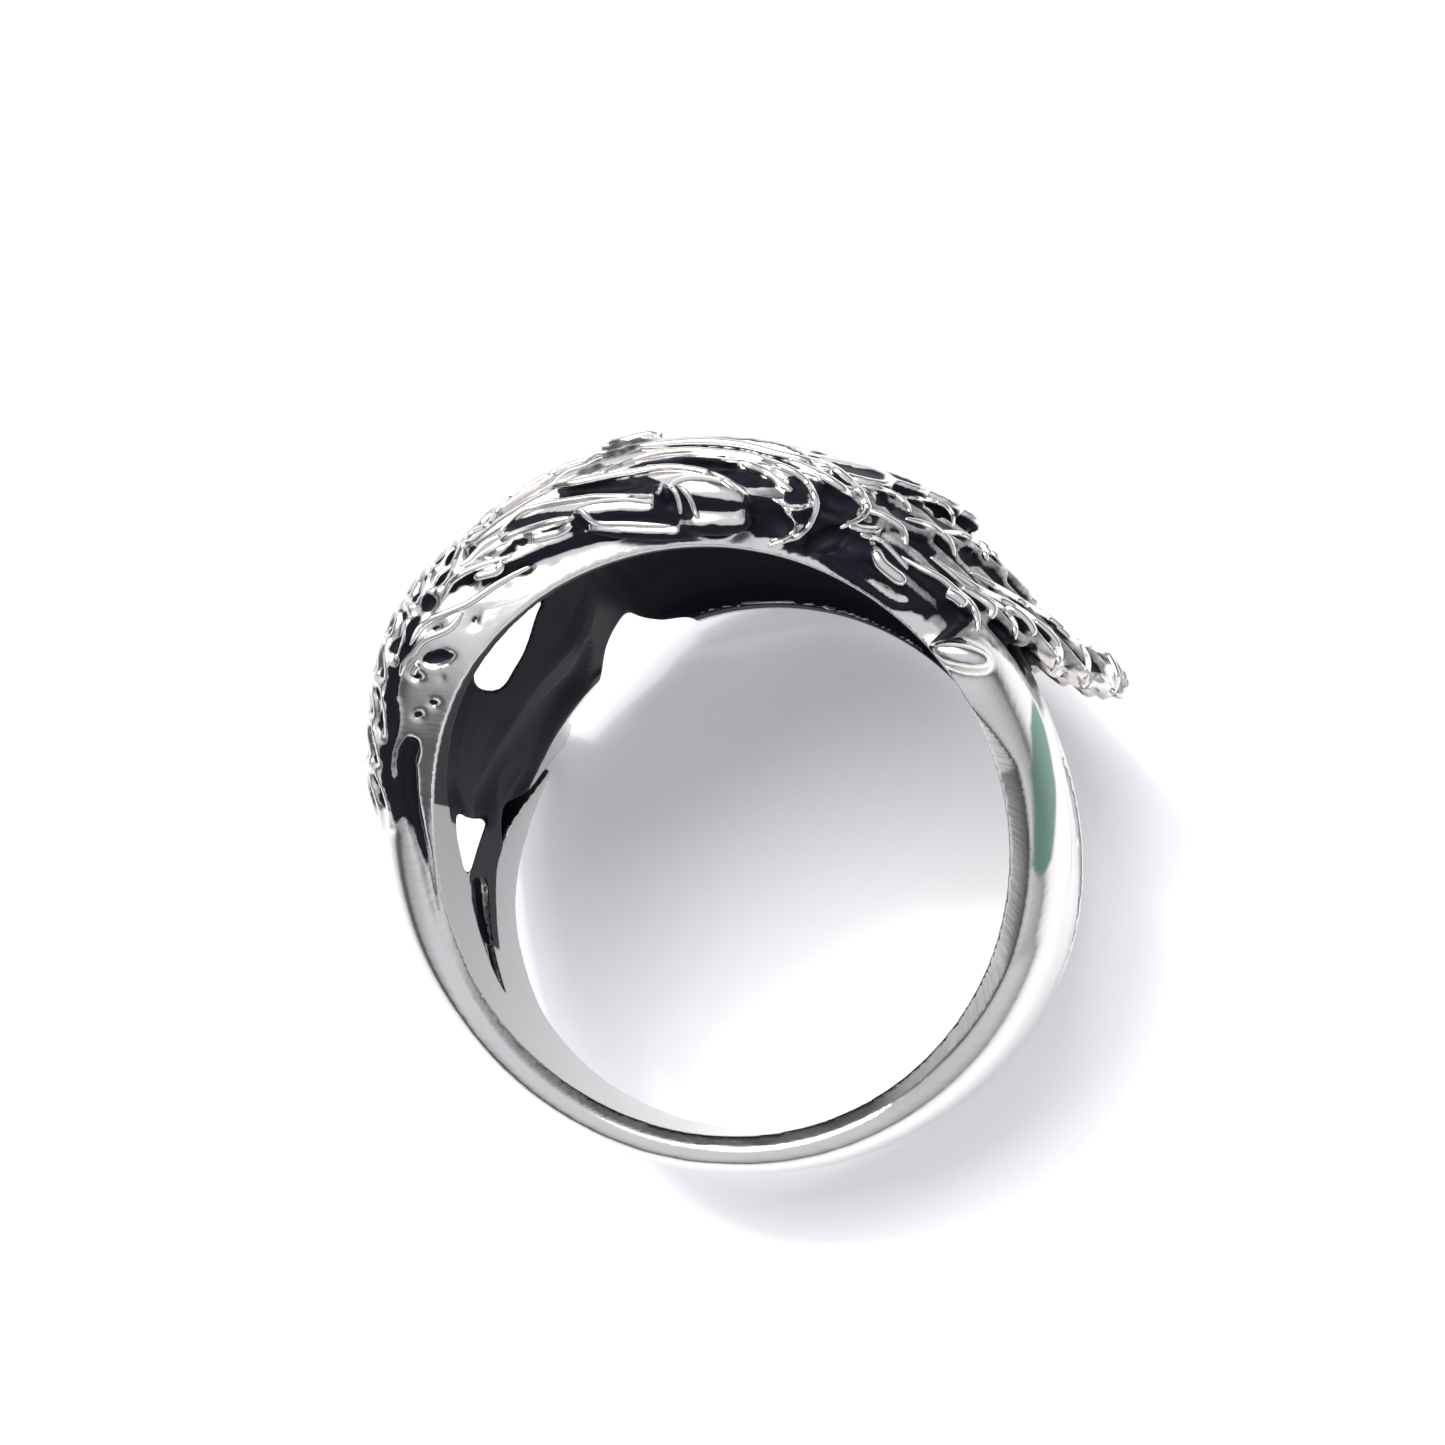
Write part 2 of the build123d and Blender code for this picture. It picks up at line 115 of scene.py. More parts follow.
def smooth_column(table, column, reach=4):
    """One column at every degree, averaged over its neighbours round the ring."""
    values = np.interp(DEGREES, table[:, 0], table[:, column])
    ring = np.concatenate([values[-41:-1], values, values[1:41]])
    weights = np.exp(-0.5 * (np.arange(-20, 21) / reach) ** 2)
    return np.convolve(ring, weights / weights.sum(), mode="same")[40:-40]


NEAR, FAR = (SHANK_HALF + (CROWN_HALF - SHANK_HALF) * smooth_column(WIDTHS, c) for c in (1, 2))
HIGH_NEAR, HIGH_FAR, HIGH_FLANK = (smooth_column(HEIGHTS, c) for c in (1, 2, 3))
print("near half width in mm from", round(float(NEAR.min()), 2), "to", round(float(NEAR.max()), 2))

# %% [markdown]
# A place on the body is named by its turn and its slope: 0 on the crest, 1 at
# the edge on the head's side and -1 at the other edge. A modeller could bend
# flat feathers with a lattice. Two such numbers do the same in plain code, so
# every feather follows the body, however it swells.

# %% Points and normals of the smooth body
def at(values, turn):
    return np.interp(turn, DEGREES, values)


def place(turn, radius, along):
    angle = np.radians(turn)
    return np.stack(np.broadcast_arrays(radius * np.sin(angle), radius * np.cos(angle), along), -1)


def crest(turn, slope):
    share = np.clip((slope + 0.15) / 0.4, 0, 1)
    near, far = at(HIGH_NEAR, turn), at(HIGH_FAR, turn)
    return CROWN_HEIGHT * (far + (near - far) * share) + FLANK * at(HIGH_FLANK, turn)


def skin(turn, slope):
    """Points of the smooth body; slope is 0 on the crest and 1 or -1 at its edges."""
    turn, slope = np.broadcast_arrays(np.asarray(turn, float), np.asarray(slope, float))
    angle = np.radians(90 * np.minimum(0.9999, np.abs(slope)))
    half = np.where(slope >= 0, at(NEAR, turn), -at(FAR, turn))
    high = crest(turn, slope)
    edge = np.minimum(RIM, high * 0.6)
    fuller = np.where(slope > 0, 0.24 * np.exp(-((turn + 58) / 24) ** 2), 0.0)
    power = ROUNDNESS - fuller
    radius = BORE + edge + (high - edge) * np.cos(angle) ** power
    return place(turn, radius, half * np.sin(angle) ** power)


def unit(v):
    return v / np.maximum(1e-9, np.linalg.norm(v, axis=-1, keepdims=True))


def skin_normal(turn, slope):
    slope = np.clip(slope, -0.97, 0.97)
    ahead = skin(turn + 1.0, slope) - skin(turn - 1.0, slope)
    across = skin(turn, slope + 0.02) - skin(turn, slope - 0.02)
    out = unit(np.cross(across, ahead))
    up = skin(turn, slope) - place(turn, BORE, 0.0 * slope)
    return out * np.sign(np.sum(out * up, -1, keepdims=True))


print("crest over the bore in mm", round(float(crest(-10.0, 0.5)), 2))

# %% [markdown]
# ## Meshes from rows of points
# Every feather, the neck and the band are stacks of closed outlines, as a
# carver would build them up in wax. One helper joins such rows into a closed
# body and turns its faces outward. Another gathers many bodies in one mesh.
# They overlap freely, because they are melted together afterwards.

# %% Helpers: rows to a mesh, many meshes to one object
def rows_mesh(rows, closed=False):
    """Vertices and faces of a closed body through rows of outline points."""
    rows = np.asarray(rows, float)
    count, width = rows.shape[:2]
    grid = np.arange(count * width).reshape(count, width)
    nxt = np.roll(grid, -1, axis=1)
    upper = np.roll(grid, -1, axis=0) if closed else grid[1:]
    upper_nxt = np.roll(nxt, -1, axis=0) if closed else nxt[1:]
    lower, lower_nxt = (grid, nxt) if closed else (grid[:-1], nxt[:-1])
    quads = np.stack([lower, lower_nxt, upper_nxt, upper], -1).reshape(-1, 4)
    faces = [tuple(q) for q in quads.tolist()]
    if not closed:
        faces.append(tuple(grid[0][::-1].tolist()))
        faces.append(tuple(grid[-1].tolist()))
    return rows.reshape(-1, 3), faces


def gathered(parts):
    """Vertices and faces of several bodies as one list."""
    verts, faces, base = [], [], 0
    for points, part_faces in parts:
        verts.append(points)
        faces += [tuple(i + base for i in f) for f in part_faces]
        base += len(points)
    return np.concatenate(verts), faces


def tree_of(parts):
    points, faces = gathered(parts)
    return BVHTree.FromPolygons(points.tolist(), faces)


def joined(name, parts):
    """One Blender mesh from several (vertices, faces) pairs."""
    mesh = bpy.data.meshes.new(name)
    points, faces = gathered(parts)
    mesh.from_pydata(points.tolist(), [], faces)
    return mesh


def outward(points, faces):
    """The same body with its faces turned outward."""
    volume = 0.0
    middle = points.mean(0)
    for face in faces:
        p = points[list(face)] - middle
        for i in range(1, len(face) - 1):
            volume += np.dot(p[0], np.cross(p[i], p[i + 1]))
    return (points, faces) if volume > 0 else (points, [f[::-1] for f in faces])


def body(rows, closed=False):
    return outward(*rows_mesh(rows, closed))


cube = body([[(0, 0, z), (1, 0, z), (1, 1, z), (0, 1, z)] for z in (0, 1)])
print("a cube from two rows has", len(cube[1]), "faces")

# %% [markdown]
# ## Band and branches
# The band is a closed loop of sections through the smooth body. It reaches a
# little into the finger hole, where a reamer later cuts it exactly round.

# %% The band
def band():
    turns = np.arange(-180, 180, 1.5)
    slopes = np.sin(np.linspace(-math.pi / 2, math.pi / 2, 49))
    inner = BORE - 0.7
    rows = []
    for turn in turns:
        outline = skin(turn, slopes)
        rows.append(np.concatenate([[place(turn, inner, -at(FAR, turn))], outline,
                                    [place(turn, inner, at(NEAR, turn))]]))
    return body(rows, closed=True)


band_body = band()
print("band", len(band_body[1]), "faces")

# %% [markdown]
# The shank splits on both sides into a near and a far branch. One branch on
# each side runs free beside the body and ends in a smooth rounded tip, which
# is the brightest, plainest metal on the ring. A table gives its course, and a
# smooth curve through the table keeps it free of corners.

# %% The two free branches
# Turn, middle along the finger as a share of half the crown, share of the width
NEAR_BRANCH = np.array([
    (128, 0.28, 0.35), (112, 0.38, 0.80), (96, 0.46, 0.95), (82, 0.55, 1.00), (70, 0.64, 1.00),
    (60, 0.72, 1.00), (54, 0.77, 0.86), (51, 0.79, 0.60), (49.5, 0.80, 0.15)])
FAR_BRANCH = np.array([
    (-134, -0.25, 0.35), (-116, -0.42, 0.80), (-100, -0.58, 0.95), (-90, -0.73, 1.00),
    (-80, -0.88, 1.00), (-70, -0.99, 1.00), (-62, -1.04, 0.86), (-58, -1.05, 0.60),
    (-56, -1.05, 0.15)])


def finer(table, count):
    """A table resampled evenly by row number with a smooth curve through it."""
    x = np.linspace(0, len(table) - 1, count)
    i = np.clip(np.floor(x).astype(int), 0, len(table) - 2)
    t = (x - i)[:, None]
    p = [table[np.clip(i + k, 0, len(table) - 1)] for k in (-1, 0, 1, 2)]
    return 0.5 * (2 * p[1] + (p[2] - p[0]) * t + (2 * p[0] - 5 * p[1] + 4 * p[2] - p[3]) * t ** 2
                  + (3 * p[1] - p[0] - 3 * p[2] + p[3]) * t ** 3)


def branch(table, width=2.9, thickness=1.9):
    side = 1 if table[0][1] > 0 else -1
    rows = []
    for turn, middle, full in finer(table, 60):
        half = width / 2 * full
        thick = thickness * (0.62 + 0.38 * math.sqrt(max(0.0, full)))
        angles = np.linspace(0, math.pi, 17)
        across = -np.cos(angles)
        high = thick * np.sin(angles) ** 0.7 * (1 - 0.18 * across)
        offsets = np.concatenate([[-half], half * across, [half]])
        radii = np.concatenate([[BORE - 0.6], BORE + 0.12 + high * 0.94, [BORE - 0.6]])
        rows.append(place(turn, radii, middle * CROWN_HALF + side * offsets))
    return body(rows)


branches = [branch(NEAR_BRANCH), branch(FAR_BRANCH)]
print("branches", sum(len(f) for _, f in branches), "faces")

# %% [markdown]
# ## Places read from the photograph
# The camera was fitted to the two rims of the finger hole, whose size is
# known. So a detail can be noted where the picture shows it, in pixels
# of the 1445 pixel wide photo, and be found on the ring by following its line
# of sight to a height. Below, this is called a picture place.

# %% The camera's lines of sight in the ring's frame
CAMERA_AT = Vector((14.0577, -2.9222, 101.5903))
PHOTO_WIDTH, FOCAL = 1445, 3040.4
CENTRE = PHOTO_WIDTH / 2
TURNED = (Matrix.Rotation(0.0029, 3, "Z") @ Matrix.Rotation(-0.0718, 3, "X")
          @ Matrix.Rotation(-0.1432, 3, "Y")).transposed()


def sight(x, y):
    return (TURNED @ Vector(((x - CENTRE) / FOCAL, (CENTRE - y) / FOCAL, -1.0))).normalized()


def seen(x, y, z):
    """The point at height z that is seen at a place in the picture."""
    way = sight(x, y)
    return np.array(CAMERA_AT + way * ((z - CAMERA_AT.z) / way.z))


pixel = np.linalg.norm(seen(700, 500, CROWN_HALF) - seen(701, 500, CROWN_HALF))
print("one pixel at the near rim in mm", round(float(pixel), 4))

# %% [markdown]
# Rims and pits lie on the feathers, at no height that a table could give. For
# them the line of sight is cast as a ray onto the solids, as a projector would
# throw it. A ray may slip between two feathers, so the depths along a row are
# evened: a median drops the slips, and a mean smooths the steps.

# %% Casting picture places onto a solid
HOLE_PLACE, DRAW_IN, TRIES = (720, 800), 0.008, 6


def evened(values, reach, measure):
    padded = np.pad(values, reach, mode="edge")
    return measure([padded[k:k + len(values)] for k in range(2 * reach + 1)], axis=0)


def cast(places, tree, lift=0.0):
    """Points where lines of sight meet a solid, with their depth evened.
    A place just outside the outline is drawn in toward the finger hole."""
    kept, depth = [], np.full(len(places), np.nan)
    for i, (x, y) in enumerate(places):
        near = x, y
        for _ in range(TRIES):
            found = tree.ray_cast(CAMERA_AT, sight(*near))
            if found[0] is not None:
                depth[i] = found[3]
                x, y = near
                break
            near = tuple(v + (hole - v) * DRAW_IN for v, hole in zip(near, HOLE_PLACE))
        kept.append((x, y))
    known = np.nonzero(~np.isnan(depth))[0]
    depth = np.interp(np.arange(len(depth)), known, depth[known])
    depth = evened(evened(depth, 4, np.median), 3, np.mean)
    return np.array([CAMERA_AT + sight(x, y) * (d - lift) for (x, y), d in zip(kept, depth)])


shank_point = cast([(718, 1108)], tree_of([band_body]))[0]
print("the middle of the shank is seen at", shank_point.round(2), "mm")

# %% [markdown]
# ## Feathers
# The feathers are single leaves laid over the body like roof tiles. Each has a
# raised rim round a sunken vane, because that rim is what catches the light in
# the cast metal. They could be sculpted one by one. A function makes each from
# its root, its tip and its width, so that a whole wing is a short table. It
# also notes which part of the feather will be blackened.

# %% One feather
def ramp(values, low, high):
    t = np.clip((values - low) / (high - low), 0, 1)
    return t * t * (3 - 2 * t)


def leaf(root, tip, width, lift_root, lift_tip, dish):
    """Vertices and faces of a rimmed feather, and how dark each vertex is.
    The rim is 0.2 mm wide, and the vane reaches its full depth at 0.5 mm."""
    share = 1 - (1 - np.linspace(0, 1, 40)) ** 1.8
    turn = root[0] + (tip[0] - root[0]) * share
    slope = root[1] + (tip[1] - root[1]) * share
    out, path = skin_normal(turn, slope), skin(turn, slope)
    ahead = unit(np.gradient(path, axis=0))
    side = unit(np.cross(out, ahead))
    length = np.linalg.norm(np.diff(path, axis=0), axis=1).sum()
    centre = path + out * (lift_root + (lift_tip - lift_root) * share ** 1.5)[:, None]
    start = 1 - 0.6 * width / length
    taper = np.sqrt(np.clip(1 - (np.clip(share - start, 0, 1) / (1.002 - start)) ** 2, 0, 1))
    half = width / 2 * (0.62 + 0.38 * np.sin(np.clip(share / 0.6, 0, 1) * math.pi / 2)) * taper
    x = np.linspace(-1, 1, 25)
    inside = np.minimum((1 - np.abs(x)) * half[:, None], (1.0 - share)[:, None] * length)
    vane = ramp(inside, 0.2, 0.5) * np.clip(0.25 + 1.6 * share, 0, 1)[:, None]
    top = -dish * vane - 0.22 * (1 - ramp(inside, -0.1, 0.16)) ** 2
    rows, shades = [], []
    for i in range(len(share)):
        deep = 0.95 * (1 - 0.45 * share[i] ** 3)
        across = np.concatenate([[-0.8], x, [0.8]]) * max(half[i], 0.02)
        height = np.concatenate([[-deep], top[i], [-deep]])
        rows.append(centre[i] + side[i] * across[:, None] + out[i] * height[:, None])
        shades.append(np.concatenate([[0.9], vane[i], [0.9]]))
    return (*body(rows), np.concatenate(shades))


print("one feather has", len(leaf((0, 0), (20, 0), 2.0, 0.1, 0.5, 0.3)[0]), "points")

# %% [markdown]
# Small scales cover the shoulders and the back in offset rows, each row lying
# over the next. The photo hides the far side. It repeats the rows near the
# breast, and the rest of the far wing is left plain up to its quills.

# %% Scales of the shoulders and the back
# Turn, slope of the first scale, how many
SCALE_ROWS = ((-86, 0.42, 3), (-79, 0.36, 5), (-73, 0.42, 4), (-67, 0.36, 5),
              (-61, 0.42, 4), (-55, 0.36, 5), (-49, 0.42, 4), (-44, 0.76, 2))
SCALE_STEP, LAST_SLOPE = 0.14, 0.74
BACK_ROWS = (-85, -78, -71, -64, -57, -50, -43, -36, -30)
BACK_SLOPES, BACK_OFFSET = (0.10, 0.22, 0.34), 0.06
SCALE_TURN, SCALE_WIDTH, SCALE_DISH = 11.2, 1.7, 0.3


def scale(turn, slope, lift):
    return leaf((turn, slope), (turn + SCALE_TURN, slope * 0.97), SCALE_WIDTH, 0.1, lift,
                SCALE_DISH)


def scales(side):
    """The scales of one side: 1 is the head's side, -1 the far one."""
    made = []
    for turn, first, count in SCALE_ROWS:
        if side > 0 or turn <= -66:
            slopes = [side * (first + SCALE_STEP * step) for step in range(count)]
            made += [scale(turn, slope, 0.45) for slope in slopes if slope < LAST_SLOPE]
    for turn in BACK_ROWS:
        if side > 0 or turn < -60:
            offset = BACK_OFFSET if turn % 2 else 0.0
            made += [scale(turn, side * (slope + offset), 0.4) for slope in BACK_SLOPES]
    return made


near_scales, far_scales = scales(1), scales(-1)
print(len(near_scales), "scales on the near side and", len(far_scales), "on the far side")

# %% [markdown]
# Long quills run from the shoulders over the wings. They lie flat on the near
# side, where the head rests on them, and are dished more deeply on the far one.

# %% Wing quills
# Root turn and slope, tip turn and slope, share of the width, share of the lift
QUILLS = ((-40, 0.80, 9, 0.84, 0.95, 0.00), (-42, 0.68, 19, 0.80, 1.25, 0.90),
          (-40, 0.50, 26, 0.56, 1.20, 0.85), (-36, 0.32, 24, 0.33, 1.00, 0.70),
          (-30, 0.16, 15, 0.16, 0.75, 0.50))
QUILL_WIDTH, QUILL_LIFT, FAR_START = 2.7, 0.75, -24


def quills(side):
    made = []
    for turn0, slope0, turn1, slope1, wide, high in QUILLS:
        start = turn0 if side > 0 else max(turn0, FAR_START)
        made.append(leaf((start, side * slope0), (turn1, side * slope1), QUILL_WIDTH * wide,
                         0.1, QUILL_LIFT * high, 0.12 if side > 0 else 0.5))
    return made


near_quills, far_quills = quills(1), quills(-1)
print(len(near_quills), "quills on each side")

# %% [markdown]
# The tail is a fan of three layers. The long feathers lie lowest, and each
# shorter layer on top of them leaves their rounded ends free.

# %% Tail feathers
# Root turn and slope, tip turn and slope, share of the tail's rise
TAIL_LONG = ((17, 0.93, 42, 0.93, 0.10), (18, 0.82, 46, 0.82, 0.16), (20, 0.68, 51, 0.68, 0.26),
             (22, 0.54, 57, 0.53, 0.42), (22, 0.40, 62, 0.39, 0.62), (24, 0.27, 65, 0.25, 0.84),
             (24, 0.13, 67, 0.11, 1.00), (24, -0.01, 67, -0.03, 1.00),
             (22, -0.15, 65, -0.17, 0.84), (22, -0.30, 61, -0.31, 0.62),
             (20, -0.46, 56, -0.47, 0.42), (18, -0.64, 50, -0.65, 0.26))
TAIL_SHORT = ((10, 0.90, 30, 0.91, 0.16), (10, 0.75, 30, 0.78, 0.28), (12, 0.60, 36, 0.62, 0.34),
              (14, 0.46, 41, 0.47, 0.42), (16, 0.32, 46, 0.32, 0.50), (16, 0.17, 49, 0.17, 0.56),
              (16, 0.02, 50, 0.02, 0.58), (16, -0.14, 48, -0.14, 0.54),
              (14, -0.31, 43, -0.31, 0.46), (12, -0.49, 37, -0.50, 0.36),
              (8, -0.68, 30, -0.70, 0.28))
TAIL_TOP = ((4, 0.52, 27, 0.54, 0.48), (6, 0.38, 31, 0.39, 0.54), (8, 0.23, 35, 0.23, 0.60),
            (8, 0.08, 37, 0.08, 0.64), (8, -0.10, 35, -0.10, 0.60),
            (6, -0.28, 30, -0.28, 0.52), (4, -0.46, 25, -0.47, 0.46))
TAIL_WIDTH, TAIL_RISE, TAIL_DISH = 1.9, 2.3, 0.15
feathers = near_scales + near_quills + far_scales + far_quills
for table in (TAIL_LONG, TAIL_SHORT, TAIL_TOP):
    feathers += [leaf((turn0, slope0), (turn1, slope1), TAIL_WIDTH, 0.2, TAIL_RISE * rise, TAIL_DISH)
                 for turn0, slope0, turn1, slope1, rise in table]
feather_bodies = [part[:2] for part in feathers]
print(len(feathers), "feathers")

# %% [markdown]
# ## Neck and head
# The neck runs back over the body, turns at the tail and comes round to the
# near side. A curve with a bevel would make such a tube as well. Here it is
# rows of points like all else, so that it can be melted in with the feathers.

# %% The neck
NECK_RADIUS = 1.35
# Turn, slope, height over the skin, share of the radius
NECK = np.array([
    (-76, -0.05, -1.2, 0.90), (-66, -0.22, -0.9, 0.90), (-56, -0.36, -0.6, 0.85),
    (-46, -0.34, -0.5, 0.85), (-38, -0.24, -0.4, 0.90), (-30, -0.12, -0.2, 0.95),
    (-22, -0.03, 0.1, 1.00), (-16, 0.00, 0.2, 1.00), (-9, 0.00, -0.1, 0.98),
    (-2, -0.02, -0.6, 0.92), (5, -0.02, -0.6, 0.90), (11, 0.00, -0.2, 0.90),
    (16, 0.05, 0.1, 0.92), (19, 0.12, -0.1, 0.86), (18, 0.22, -0.4, 0.76),
    (13, 0.32, -0.6, 0.60)])


def tube(path, radii, sides=20):
    ahead = unit(np.gradient(path, axis=0))
    out = unit(path * [1, 1, 0])
    side = unit(np.cross(out, ahead))
    out = np.cross(ahead, side)
    angles = np.arange(sides) * 2 * math.pi / sides
    ring = np.cos(angles)[:, None], np.sin(angles)[:, None]
    return body([p + r * (s * ring[0] + o * ring[1])
                 for p, r, s, o in zip(path, radii, side, out)])


fine = finer(NECK, 70)
neck_path = skin(fine[:, 0], fine[:, 1]) + skin_normal(fine[:, 0], fine[:, 1]) * fine[:, 2:3]
neck = tube(neck_path, NECK_RADIUS * fine[:, 3])
print("neck", round(float(np.linalg.norm(np.diff(neck_path, axis=0), axis=1).sum()), 1), "mm long")

# %% [markdown]
# The head lies against the near wing with its bill toward the breast. Its core
# is one row of outlines from the back of the skull to the bill's tip. Small
# rounded forms on top of it give the skull, the cheek, the two edges of the
# bill and the knob, as a carver adds drops of wax.

# %% The head
HEAD_MIDDLE = place(2.2, 10.45, 9.72)
# Offset toward the tail, drop, half height, half depth
HEAD_STEPS = np.array([
    (1.20, -0.05, 0.08, 0.10), (1.10, -0.04, 0.46, 0.45), (0.80, -0.02, 0.74, 0.72),
    (0.40, 0.00, 0.86, 0.84), (-0.10, 0.02, 0.84, 0.86), (-0.60, 0.00, 0.74, 0.82),
    (-0.95, -0.04, 0.60, 0.72), (-1.35, -0.10, 0.44, 0.66), (-1.75, -0.12, 0.36, 0.66),
    (-2.30, -0.16, 0.32, 0.66), (-3.00, -0.22, 0.28, 0.62), (-3.60, -0.30, 0.2, 0.5),
    (-3.92, -0.36, 0.08, 0.2)])


def ellipsoid(middle, radii, tilt=0.0, steps=16, sides=24):
    """An ellipsoid, tilted in degrees about the finger's direction."""
    rows = []
    c, w = math.cos(math.radians(tilt)), math.sin(math.radians(tilt))
    for a in np.linspace(0.06, math.pi - 0.06, steps):
        angles = np.arange(sides) * 2 * math.pi / sides
        x = np.full(sides, -math.cos(a)) * radii[0]
        y = math.sin(a) * np.sin(angles) * radii[1]
        rows.append(middle + np.stack([x * c - y * w, x * w + y * c,
                                       math.sin(a) * np.cos(angles) * radii[2]], -1))
    return body(rows)


HEAD_SIDES = 28
angles = np.arange(HEAD_SIDES) * 2 * math.pi / HEAD_SIDES
core = body([HEAD_MIDDLE + np.stack([np.full(HEAD_SIDES, offset), drop + high * np.sin(angles),
                                     deep * np.cos(angles)], -1)
             for offset, drop, high, deep in finer(HEAD_STEPS, 64)])
# Picture place, height, half sizes in mm and tilt in degrees
HEAD_FORMS = (
    (709, 494, 10.30, (1.30, 0.58, 0.55), -12), (716, 522, 10.25, (1.15, 0.46, 0.36), -2),
    (616, 510, 10.00, (1.45, 0.40, 0.42), 1), (645, 532, 9.95, (1.90, 0.28, 0.28), -4),
    (658, 495, 10.25, (0.18, 0.38, 0.50), 8), (730, 505, 10.10, (0.65, 0.5, 0.45), -40))
head_parts = [ellipsoid(seen(x, y, z), radii, tilt) for x, y, z, radii, tilt in HEAD_FORMS]
print("head of", 1 + len(head_parts), "forms")

# %% [markdown]
# Thin polished rims run over the near side, and they are what the eye follows.
# Each is noted as a half width and a few picture places. The first
# table holds the long loops that pass above the head and bend down round it.

# %% Rims of the loops over the head
# Half width in mm, then picture places
HEAD_LOOPS = (
    (0.13, ((540, 492), (556, 486), (580, 482), (600, 478), (640, 471), (660, 468), (680, 468),
            (700, 471), (720, 478), (737, 490))),
    (0.13, ((600, 474), (620, 465), (640, 458), (660, 453), (680, 451), (700, 451), (740, 455),
            (760, 459), (780, 466), (795, 473), (806, 482), (813, 493), (816, 505), (813, 518),
            (807, 528), (798, 536), (785, 541), (768, 546))),
    (0.15, ((640, 446), (660, 444), (700, 442), (740, 445), (780, 455), (820, 464), (835, 470),
            (848, 480), (858, 490), (865, 500), (867, 510), (860, 519), (840, 528))),
    (0.15, ((742, 463), (756, 468), (770, 475), (782, 485), (792, 492))),
    (0.16, ((788, 461), (802, 467), (820, 475), (838, 486), (852, 497))),
    (0.09, ((772, 499), (783, 506), (791, 516), (796, 526), (788, 536), (770, 541))))
print(len(HEAD_LOOPS), "loops")

# %% [markdown]
# The second table holds the edges of bill, brow and nape, and the small hooks
# between the head and the breast. The third has the hooked feather edges of
# the back and the tail, from the top bump down to the last tail feather.

# %% Rims from the breast to the head
BREAST_RIMS = (
    (0.12, ((500, 532), (520, 512), (540, 506), (560, 502), (580, 499), (600, 497), (652, 496))),
    (0.12, ((580, 508), (588, 517), (600, 523), (630, 524), (672, 526))),
    (0.12, ((500, 540), (520, 532), (545, 524), (570, 518))),
    (0.15, ((532, 539), (545, 536), (560, 532), (572, 524))),
    (0.12, ((512, 500), (530, 486), (548, 474), (560, 463), (580, 456), (608, 452))),
    (0.12, ((500, 510), (520, 496), (540, 484), (556, 474))),
    (0.10, ((664, 484), (674, 490), (679, 500), (681, 514))),
    (0.10, ((680, 486), (689, 496), (694, 508), (698, 519))),
    (0.14, ((600, 441), (620, 438), (640, 433), (655, 432), (672, 439))),
    (0.15, ((474, 578), (484, 575), (497, 571), (503, 562))),
    (0.15, ((412, 674), (415, 668), (420, 664))),
    (0.12, ((460, 566), (470, 560), (484, 545), (500, 536))),
    (0.12, ((442, 600), (450, 584), (462, 574), (480, 566), (512, 556))),
    (0.12, ((410, 645), (418, 630), (430, 620), (448, 612), (470, 602), (500, 582), (530, 566))),
    (0.12, ((400, 676), (404, 664), (414, 652), (424, 640), (450, 628), (462, 612))),
    (0.12, ((462, 540), (474, 532), (490, 524), (500, 508), (512, 496))),
    (0.12, ((430, 590), (440, 574), (452, 566), (462, 548), (474, 540))))
print(len(BREAST_RIMS), "rims toward the breast")

# %% Rims from the back to the tail
TAIL_RIMS = (
    (0.12, ((860, 486), (880, 489), (895, 495), (905, 503), (910, 513))),
    (0.12, ((900, 497), (920, 499), (940, 504), (950, 512), (953, 526))),
    (0.12, ((864, 509), (880, 515), (895, 523), (904, 532), (906, 545))),
    (0.13, ((905, 519), (925, 525), (940, 533), (950, 543), (954, 557))),
    (0.12, ((940, 532), (960, 535), (974, 542), (983, 551), (987, 561))),
    (0.13, ((955, 528), (980, 532), (998, 541), (1006, 552))),
    (0.14, ((1008, 556), (1025, 562), (1038, 574), (1042, 586), (1036, 597))),
    (0.13, ((845, 470), (856, 464), (868, 463), (882, 468), (894, 480))),
    (0.13, ((860, 534), (880, 541), (896, 556), (908, 570))),
    (0.22, ((874, 548), (880, 562), (892, 573), (906, 583))),
    (0.12, ((900, 556), (920, 568), (940, 578), (955, 590), (970, 603), (977, 617), (978, 631))),
    (0.13, ((930, 557), (950, 573), (970, 590), (990, 602), (1005, 612), (1014, 625),
            (1015, 639))),
    (0.14, ((945, 567), (980, 590), (1010, 605), (1035, 622), (1050, 635), (1059, 650),
            (1057, 665), (1045, 676))),
    (0.14, ((970, 573), (1000, 590), (1030, 608), (1060, 627), (1078, 645), (1087, 662),
            (1084, 682), (1070, 692))),
    (0.14, ((1040, 603), (1070, 621), (1094, 641), (1110, 659), (1117, 678), (1112, 694))),
    (0.15, ((1100, 640), (1116, 656), (1126, 672), (1126, 688))),
    (0.20, ((946, 592), (956, 597), (966, 606))),
    (0.18, ((962, 588), (980, 599), (992, 608), (990, 618))),
    (0.16, ((1004, 605), (1020, 615), (1030, 626), (1034, 636))))
print(len(TAIL_RIMS), "rims toward the tail")

# %% [markdown]
# The longest tail feathers end in four rounded tips that stand clear of the
# band. They are full forms, so that they keep their shape from every side.

